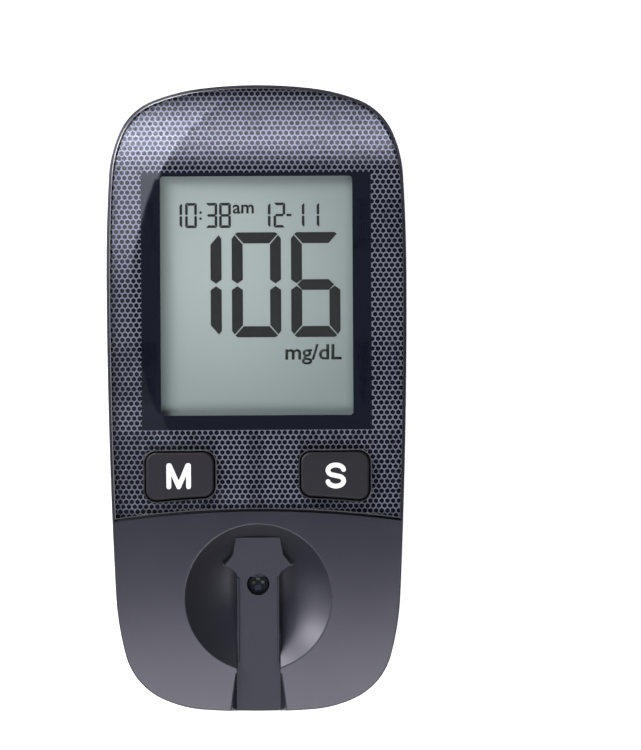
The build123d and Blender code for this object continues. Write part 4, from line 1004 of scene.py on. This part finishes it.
@dataclass
class Display:
    """The liquid crystal display: its ground, its glasses, its holder and its figures.

    The bars are given on a large figure. A row holds each figure with the place of its left edge.
    """

    width: float = 7.69
    height: float = 16.38
    stroke: float = 1.72
    top_start: float = 0.9
    top_tip: Point = (0.5, 0.26)
    top_inner: float = 1.82
    middle_inner: float = 1.8
    middle_tip: float = 0.97
    middle_half: float = 0.83
    side_inner: float = 1.9
    side_outer: float = 1.0
    side_tip: Point = (0.44, 0.42)
    side_foot: Point = (0.8, 0.2)
    small: float = 0.2385
    large_row: Row = (("1", -7.19), ("0", -3.87), ("6", 5.38))
    large_foot: float = 9.58
    time_row: Row = (("1", -11.99), ("0", -11.11), ("3", -7.93), ("8", -5.8))
    date_row: Row = (("1", 1.81), ("2", 2.69), ("1", 7.11), ("1", 9.43))
    small_foot: float = 26.68
    dash: Point = (0.8, 0.36)
    dash_x: float = 5.1
    dash_rise: float = 1.96
    colon: tuple[Point, Point] = ((-8.7, 28.14), (-8.7, 29.09))
    colon_radius: float = 0.2
    boldness: float = 0.016
    words: tuple[tuple[str, Box], ...] = (
        ("am", (-3.67, 28.9, -0.39, 30.3)),
        ("mg/dL", (4.42, 5.3, 13.19, 8.46)),
    )
    ink_lift: float = 0.004
    ink_thickness: float = 0.03
    # The display's ground carries a painted light falloff and a painted sparkle.
    ground: Coat = DisplayCoat("display_ground", paint(151, 163, 162), 0.55, 0.05, 0.12, 0.2)
    ink: Coat = Coat("display_ink", paint(13, 16, 18))
    glass: Clear = Clear("display_glass", (0.93, 0.95, 0.94))
    foil: Metal = Metal("reflector_foil", (0.66, 0.69, 0.68), 0.45)
    holder: Moulded = Moulded("holder_plastic", paint(206, 206, 200), 0.55)
    foam: Moulded = Moulded("gasket_foam", paint(24, 24, 26), 0.9, grain=0.3, relief=0.05)
    zebra: Layered = Layered()

    def dress(self) -> None:
        """Finishes of the display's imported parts."""
        dress(self.ground, "front_polariser")
        dress(self.glass, "lcd_front_glass", "lcd_rear_glass")
        dress(self.foil, "reflector")
        dress(self.holder, "lcd_holder")
        dress(self.foam, "lcd_gasket")
        dress(self.zebra, "zebra_connectors")

    def outline(self, bar: Bar) -> list[Point]:
        """Corners of one bar of a large figure, going round against the clock.

        Args:
            bar: which bar.

        Returns:
            The corners from the figure's lower left corner.
        """
        width, height, stroke = self.width, self.height, self.stroke
        middle = height / 2
        if bar in ABOVE:
            return [(x, height - y) for x, y in reversed(self.outline(ABOVE[bar]))]
        if bar is Bar.UPPER_LEFT:
            return [(width - x, y) for x, y in reversed(self.outline(Bar.UPPER_RIGHT))]
        if bar is Bar.UPPER_RIGHT:
            shoulder, foot = self.side_foot
            return [
                (width - stroke, height - self.side_inner),
                (width - stroke, middle + shoulder),
                (width - stroke / 2, middle + foot),
                (width, middle + shoulder),
                (width, height - self.side_outer),
                (width - self.side_tip[0], height - self.side_tip[1]),
            ]
        if bar is Bar.TOP:
            tip = (self.top_tip[0], height - self.top_tip[1])
            left = [(self.top_start, height), tip, (self.top_inner, height - stroke)]
        else:
            inner, half = self.middle_inner, self.middle_half
            left = [(inner, middle + half), (self.middle_tip, middle), (inner, middle - half)]
        return left + [(width - x, y) for x, y in reversed(left)]

    def figure(self, sign: str, left: float, foot: float, size: float) -> list[Piece]:
        """The lit bars of one figure.

        Args:
            sign: the figure, one of LIT.
            left: its left edge.
            foot: its lower edge.
            size: its size as a share of a large figure.

        Returns:
            The bars as flat pieces.
        """
        shift = self.stroke - self.width if sign == "1" else 0.0
        made = []
        for bar in Bar:
            if bar.value in LIT[sign]:
                corners = [(left + (x + shift) * size, foot + y * size) for x, y in self.outline(bar)]
                made.append(panel(corners))
        return made

    def figures(self) -> None:
        """The whole picture that the display shows, as thin ink on its ground."""
        made: list[Piece] = []
        for sign, left in self.large_row:
            made += self.figure(sign, left, self.large_foot, 1.0)
        for sign, left in self.time_row + self.date_row:
            made += self.figure(sign, left, self.small_foot, self.small)
        made.append(tile(*self.dash, (self.dash_x, self.small_foot + self.dash_rise)))
        made += [dot(self.colon_radius, centre) for centre in self.colon]
        made += [lettering(word, box, self.boldness) for word, box in self.words]
        sheet = join(made, "display_figures")
        ground = round(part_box("front_polariser")[1].z / MM, 3)
        lift(sheet, ground + self.ink_lift)
        modify(sheet, "SOLIDIFY", thickness=self.ink_thickness * MM, offset=1.0)
        add_piece(sheet, "case", self.ink.material())


@dataclass
class Keys:
    """The two keys with their legends, rubber posts and contacts.

    The letters are made flat at above_keys and then laid on the keys. The strokes of one letter lie
    one layer apart, so that none shares a face with another. Angles are in degrees.
    """

    memory_centre: Point = (-12.29, -12.03)
    set_centre: Point = (12.2, -12.05)
    letter_height: float = 3.3
    m_width: float = 3.08
    m_inset: float = 0.12
    s_width: float = 2.46
    s_start: int = 8
    s_turn: int = 16
    s_points: int = 15
    weight: float = 0.74
    end_angles: tuple[int, ...] = (20, 40, 60, 78)
    weld: float = 0.01
    above_keys: float = 25.0
    legend_lift: float = 0.012
    layer: float = 0.004
    legend_thickness: float = 0.025
    cap: Moulded = Moulded(
        "key_plastic", paint(31, 30, 34), 0.45, grain=0.2, relief=0.006, speckle=0.05, specular=0.2
    )
    legend: Coat = Coat("legend_white", paint(245, 245, 247), 0.45, 0.04)
    rubber: Moulded = Moulded("silicone_rubber", paint(120, 120, 122), 0.6)
    carbon: Moulded = Moulded("carbon_print", paint(34, 34, 36), 0.6, grain=0.08)

    def dress(self) -> None:
        """Finishes of the keys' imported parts."""
        dress(self.cap, "memory_key", "set_key")
        dress(self.rubber, "memory_key_plunger", "set_key_plunger", "keypad_mat")
        dress(self.carbon, "memory_key_pill", "set_key_pill", "key_contact_pads")

    def round_end(self, outwards: Vector, side: tuple[Vector, Vector]) -> list[tuple[Vector, Vector]]:
        """The round end of a stroke, as ever narrower steps.

        Args:
            outwards: the way out of the stroke.
            side: the left and the right edge where the stroke ends.

        Returns:
            The left and the right edge at each step, from the stroke outwards.
        """
        middle, half = (side[0] + side[1]) / 2, (side[0] - side[1]) / 2
        out = outwards.normalized() * half.length
        turns = [math.radians(angle) for angle in self.end_angles]
        ends = [(middle + out * math.sin(turn), half * math.cos(turn)) for turn in turns]
        return [(place + reach, place - reach) for place, reach in ends]

    def stroke(self, line: list[Point]) -> Piece:
        """One flat sheet along a line, as wide as the letters' strokes, with round ends.

        Args:
            line: the points of the stroke's middle.

        Returns:
            The sheet.
        """
        path = [Vector(point) for point in line]
        sides = []
        for before, here, after in zip([path[0]] + path, path, path[1:] + [path[-1]]):
            run = (after - before).normalized() * self.weight / 2
            sides.append((here + Vector((-run.y, run.x)), here + Vector((run.y, -run.x))))
        foot = self.round_end(path[0] - path[1], sides[0])
        head = self.round_end(path[-1] - path[-2], sides[-1])
        sides = foot[::-1] + sides + head
        made = [panel([here[1], after[1], after[0], here[0]]) for here, after in zip(sides, sides[1:])]
        stroke = join(made, "stroke")
        modify(stroke, "WELD", merge_threshold=self.weld * MM)
        return stroke

    def letter_m(self) -> list[Piece]:
        """The M of the memory key.

        Returns:
            Its strokes: a stem and a slope on each side.
        """
        (x, y), half, rise = self.memory_centre, self.m_width / 2, self.letter_height / 2
        made = []
        for side in (-1, 1):
            stem = x + side * half
            made.append(self.stroke([(stem, y - rise), (stem, y + rise)]))
            made.append(self.stroke([(stem - side * self.m_inset, y + rise), (x, y - rise)]))
        return made

    def letter_s(self) -> list[Piece]:
        """The S of the set key: two open bows, one the other turned round.

        Returns:
            Its one stroke.
        """
        (x, y), half, rise = self.set_centre, self.s_width / 2, self.letter_height / 4
        upper = []
        for step in range(self.s_points):
            angle = math.radians(self.s_start + step * self.s_turn)
            upper.append((half * math.cos(angle), rise + rise * math.sin(angle)))
        lower = [(-across, -along) for across, along in reversed(upper)]
        return [self.stroke([(x + across, y + along) for across, along in upper + lower])]

    def legends(self) -> None:
        """White letters that follow the crowned tops of the keys."""
        material = self.legend.material()
        for made, key in ((self.letter_m(), "memory_key"), (self.letter_s(), "set_key")):
            for layer, sheet in enumerate(made):
                lift(sheet, self.above_keys)
                modify(
                    sheet,
                    "SHRINKWRAP",
                    target=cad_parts[key],
                    wrap_method="PROJECT",
                    use_project_z=True,
                    use_negative_direction=True,
                    use_positive_direction=False,
                    offset=(self.legend_lift + layer * self.layer) * MM,
                )
                modify(sheet, "SOLIDIFY", thickness=self.legend_thickness * MM, offset=1.0)
            add_piece(join(made, key + "_legend"), key, material)


@dataclass
class StripDeck:
    """The strip guide, its window and the optics below it."""

    guide: Moulded = Moulded(
        "guide_plastic", paint(44, 45, 54), 0.3, relief=0.003, speckle=0.06, specular=0.2
    )
    window: Clear = Clear("window_glass", (0.9, 0.93, 0.95))
    block: Moulded = Moulded("optics_plastic", paint(14, 14, 16), 0.3)
    lamp: Moulded = Moulded("lamp_resin", paint(96, 95, 84), 0.12, relief=0.0, speckle=0.02)
    sensor: Metal = Metal("sensor_chip", (0.35, 0.36, 0.42), 0.2)

    def dress(self) -> None:
        """Finishes of the strip deck."""
        dress(self.guide, "strip_guide", "release_button")
        dress(self.window, "measuring_window")
        dress(self.block, "optics_block")
        dress(self.lamp, "measuring_leds")
        dress(self.sensor, "photodiode")


@dataclass
class Power:
    """Battery, its door and its contacts, and the spring of the release button."""

    door: Moulded = Moulded("door_plastic", paint(52, 53, 61), 0.42, relief=0.014)
    cell: Metal = Metal("cell_steel", (0.74, 0.74, 0.73), 0.26, Weave.TURNED, (0.0, 22.0))
    spring: Metal = Metal("spring_steel", (0.66, 0.66, 0.66), 0.25, Weave.ROLLED)

    def dress(self) -> None:
        """Finishes of the battery bay and of what is of spring steel."""
        dress(self.door, "battery_door")
        dress(self.cell, "coin_cell")
        dress(self.spring, "battery_contact_negative", "battery_contact_positive", "release_spring")


@dataclass
class Electronics:
    """The circuit board with what is soldered to it, the code chip and the data socket."""

    board: SolderMask = SolderMask()
    package: Tinned = LeadedPackage(
        "chip_package", paint(30, 30, 32), (0.72, 0.72, 0.72), 0.6, 0.3, 0.12, 3.0, 0.008
    )
    capacitor: Tinned = ChipRow(
        "chip_capacitor", paint(150, 118, 88), (0.75, 0.75, 0.74), 0.5, 0.15, 0.15
    )
    nickel: Metal = Metal("nickel_plate", (0.7, 0.69, 0.66), 0.22)
    gold: Metal = Metal("gold_plate", (0.83, 0.66, 0.32), 0.24)
    black: Moulded = Moulded("black_resin", paint(28, 28, 30), 0.5)
    chip: Moulded = Moulded("code_chip_plastic", paint(38, 38, 43), 0.4)

    def dress(self) -> None:
        """Finishes of the electronics."""
        dress(self.board, "circuit_board")
        dress(self.package, "microcontroller")
        dress(self.black, "board_chips", "buzzer", "code_chip_socket", "data_socket_tongue")
        dress(self.capacitor, "capacitors")
        dress(self.nickel, "crystal", "data_socket_shell")
        dress(self.gold, "code_chip_contacts")
        dress(self.chip, "code_chip")


# ---- studio


@dataclass(frozen=True)
class SoftLamp:
    """A rectangular soft lamp. Place, aim and its two sides are in metres, and a glow of 1 is white."""

    name: str
    place: Point3
    size: Point
    glow: float
    aim: Point3 = (0.0, 0.0, 0.0)
    in_diffuse: bool = True
    in_gloss: bool = True

    def hang(self) -> None:
        """Adds the lamp to the studio."""
        lamp = add(bpy.ops.object.light_add, type="AREA", location=self.place)
        lamp.name = lamp.data.name = self.name
        lamp.data.shape = "RECTANGLE"
        lamp.data.size, lamp.data.size_y = self.size
        lamp.data.energy = self.glow * math.pi * self.size[0] * self.size[1]
        way = Vector(self.aim) - Vector(self.place)
        lamp.rotation_euler = way.to_track_quat("-Z", "Y").to_euler()
        lamp.visible_diffuse = self.in_diffuse
        lamp.visible_glossy = self.in_gloss


@dataclass(frozen=True)
class LightCard:
    """A dark card round the lens of the camera, seen in gloss alone, with two soft lights in it.

    One light fills the upper left, in steps of (start, end, share) along Y. The other is a strip
    across the top. Beyond a slanting line at its foot the card is clear.
    """

    size: float = 600.0
    height: float = 400.0
    tint: Colour = (0.84, 0.86, 1.0)
    hole_centre: Point = (20.0, 20.0)
    hole_radius: float = 105.0
    hole_blur: float = 1.0
    corner_glow: float = 6.2
    corner_steps: tuple[Point3, ...] = ((-150, 18, 0.12), (18, 60, 0.66), (72, 88, 0.22))
    corner_right_edge: Point = (60, 0)
    corner_top_edge: Point = (122, 100)
    strip_glow: float = 7.2
    strip_foot_edge: Point = (82, 96)
    strip_top_edge: Point = (122, 98)
    strip_end_edge: Point = (130, 100)
    foot_slope: float = 0.136
    foot_drop: float = 138
    foot_edge: Point = (-2, 2)

    def strength(self, g: Graph) -> Field:
        """How brightly each spot of the card glows.

        Args:
            g: the card's nodes.

        Returns:
            The strength, where 1 is white.
        """
        x, y = g.place
        dx, dy = g.around(self.hole_centre)
        inner, outer = self.hole_radius - self.hole_blur, self.hole_radius + self.hole_blur
        outside = dx.hypot(dy).rise(inner, outer)
        first, *others = [y.rise(start, end) * share for start, end, share in self.corner_steps]
        corner = outside * x.rise(*self.corner_right_edge) * sum(others, first)
        corner = corner * y.rise(*self.corner_top_edge)
        strip = y.rise(*self.strip_foot_edge).least(y.rise(*self.strip_top_edge))
        strip = strip * abs(x).rise(*self.strip_end_edge)
        return corner * self.corner_glow + strip * self.strip_glow

    def hang(self) -> None:
        """Adds the card to the studio."""
        card = add(bpy.ops.mesh.primitive_plane_add, size=self.size * MM)
        card.name = "light_card"
        lift(card, self.height)
        g = Graph("light_card")
        glow = g.node("Emission", {"Color": self.tint, "Strength": self.strength(g)})[0]
        clear = g.node("BsdfTransparent")[0]
        x, y = g.place
        beyond = (x * self.foot_slope - self.foot_drop - y).rise(*self.foot_edge)
        card.data.materials.append(g.finish(g.either(beyond, glow, clear)))
        card.visible_camera = card.visible_diffuse = card.visible_shadow = False
        card.visible_transmission = False
        card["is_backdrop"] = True


@dataclass
class Studio:
    """Pale floor, soft lamps, a light card that only gloss sees, and the camera.

    The floor's side and the camera's clipping are in metres, and the camera's roll in degrees.
    """

    frame_length: float = 117.2
    frame_centre: Point = (9.9, 3.63)
    sharp_z: float = 14.0
    focal: float = 500.0
    sensor: float = 36.0
    roll: float = -0.3
    clip: Point = (0.05, 50.0)
    floor_side: float = 16.0
    floor_colour: Colour = (0.82, 0.82, 0.83)
    floor_glow: float = 0.7
    white: Colour = (1.0, 1.0, 1.0)
    surroundings: float = 0.22
    card: LightCard = LightCard()
    lamps: tuple[SoftLamp, ...] = (
        SoftLamp("key_lamp", (-0.66, 0.56, 0.8), (0.6, 0.6), 10.5, in_gloss=False),
        SoftLamp("left_rim_lamp", (-1.0, 0.46, 0.49), (0.34, 0.5), 30.0, in_diffuse=False),
        SoftLamp("far_rim_lamp", (-0.46, 1.0, 0.49), (0.34, 0.5), 30.0, in_diffuse=False),
        SoftLamp("foot_lamp", (0.1, -0.67, 1.0), (1.0, 0.68), 5.6, (0.1, -0.67, 0.0)),
        SoftLamp("side_lamp", (-0.62, -0.03, 0.36), (0.55, 0.5), 2.2, (0, -0.03, 0), False),
    )

    def floor(self) -> None:
        """A wide pale floor: white to the eye, grey where the object shades it."""
        floor = add(bpy.ops.mesh.primitive_plane_add, size=self.floor_side)
        floor.name = "studio_floor"
        g = Graph("studio_floor")
        base = g.node("BsdfDiffuse", {"Color": self.floor_colour})[0]
        path = g.node("LightPath")
        rays = ("Is Camera Ray", "Is Glossy Ray", "Is Transmission Ray")
        camera, gloss, through = (Field(g, path[ray]) for ray in rays)
        seen = camera.most(gloss).most(through)
        glow = g.node("Emission", {"Strength": seen * self.floor_glow})[0]
        floor.data.materials.append(g.finish(g.node("AddShader", {0: base, 1: glow})[0]))
        floor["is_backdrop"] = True

    def world(self) -> None:
        """Even grey surroundings that look white to the eye."""
        g = Graph("studio", world=True)
        seen = Field(g, g.node("LightPath")["Is Camera Ray"])
        strength = seen * (1 - self.surroundings) + self.surroundings
        sockets = {"Color": self.white, "Strength": strength}
        bpy.context.scene.world = g.finish(g.node("Background", sockets)[0])

    def camera(self) -> None:
        """A long lens straight above, with the display end up."""
        camera = add(bpy.ops.object.camera_add)
        camera.name = "studio_camera"
        camera.data.lens, camera.data.sensor_width = self.focal, self.sensor
        distance = self.frame_length * self.focal / self.sensor
        camera.location = Vector((*self.frame_centre, self.sharp_z + distance)) * MM
        camera.rotation_euler = (0, 0, math.radians(self.roll))
        camera.data.clip_start, camera.data.clip_end = self.clip
        bpy.context.scene.camera = camera

    def build(self) -> None:
        """Sets everything up."""
        bpy.context.scene.view_settings.view_transform = "Standard"
        self.floor()
        self.world()
        self.card.hang()
        for lamp in self.lamps:
            lamp.hang()
        self.camera()


def main() -> None:
    """Builds and dresses the meter in order and reports each piece."""
    logging.basicConfig(level=logging.INFO, format="%(name)s: %(message)s")
    Studio().build()
    Case().dress()
    Face().dress()
    display = Display()
    display.dress()
    display.figures()
    keys = Keys()
    keys.dress()
    keys.legends()
    StripDeck().dress()
    Power().dress()
    Electronics().dress()
    boxes = {"cad": CAD_BOX, "visual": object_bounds()}
    {name: [list(corner) for corner in box] for name, box in boxes.items()}


if __name__ == "__main__":
    main()
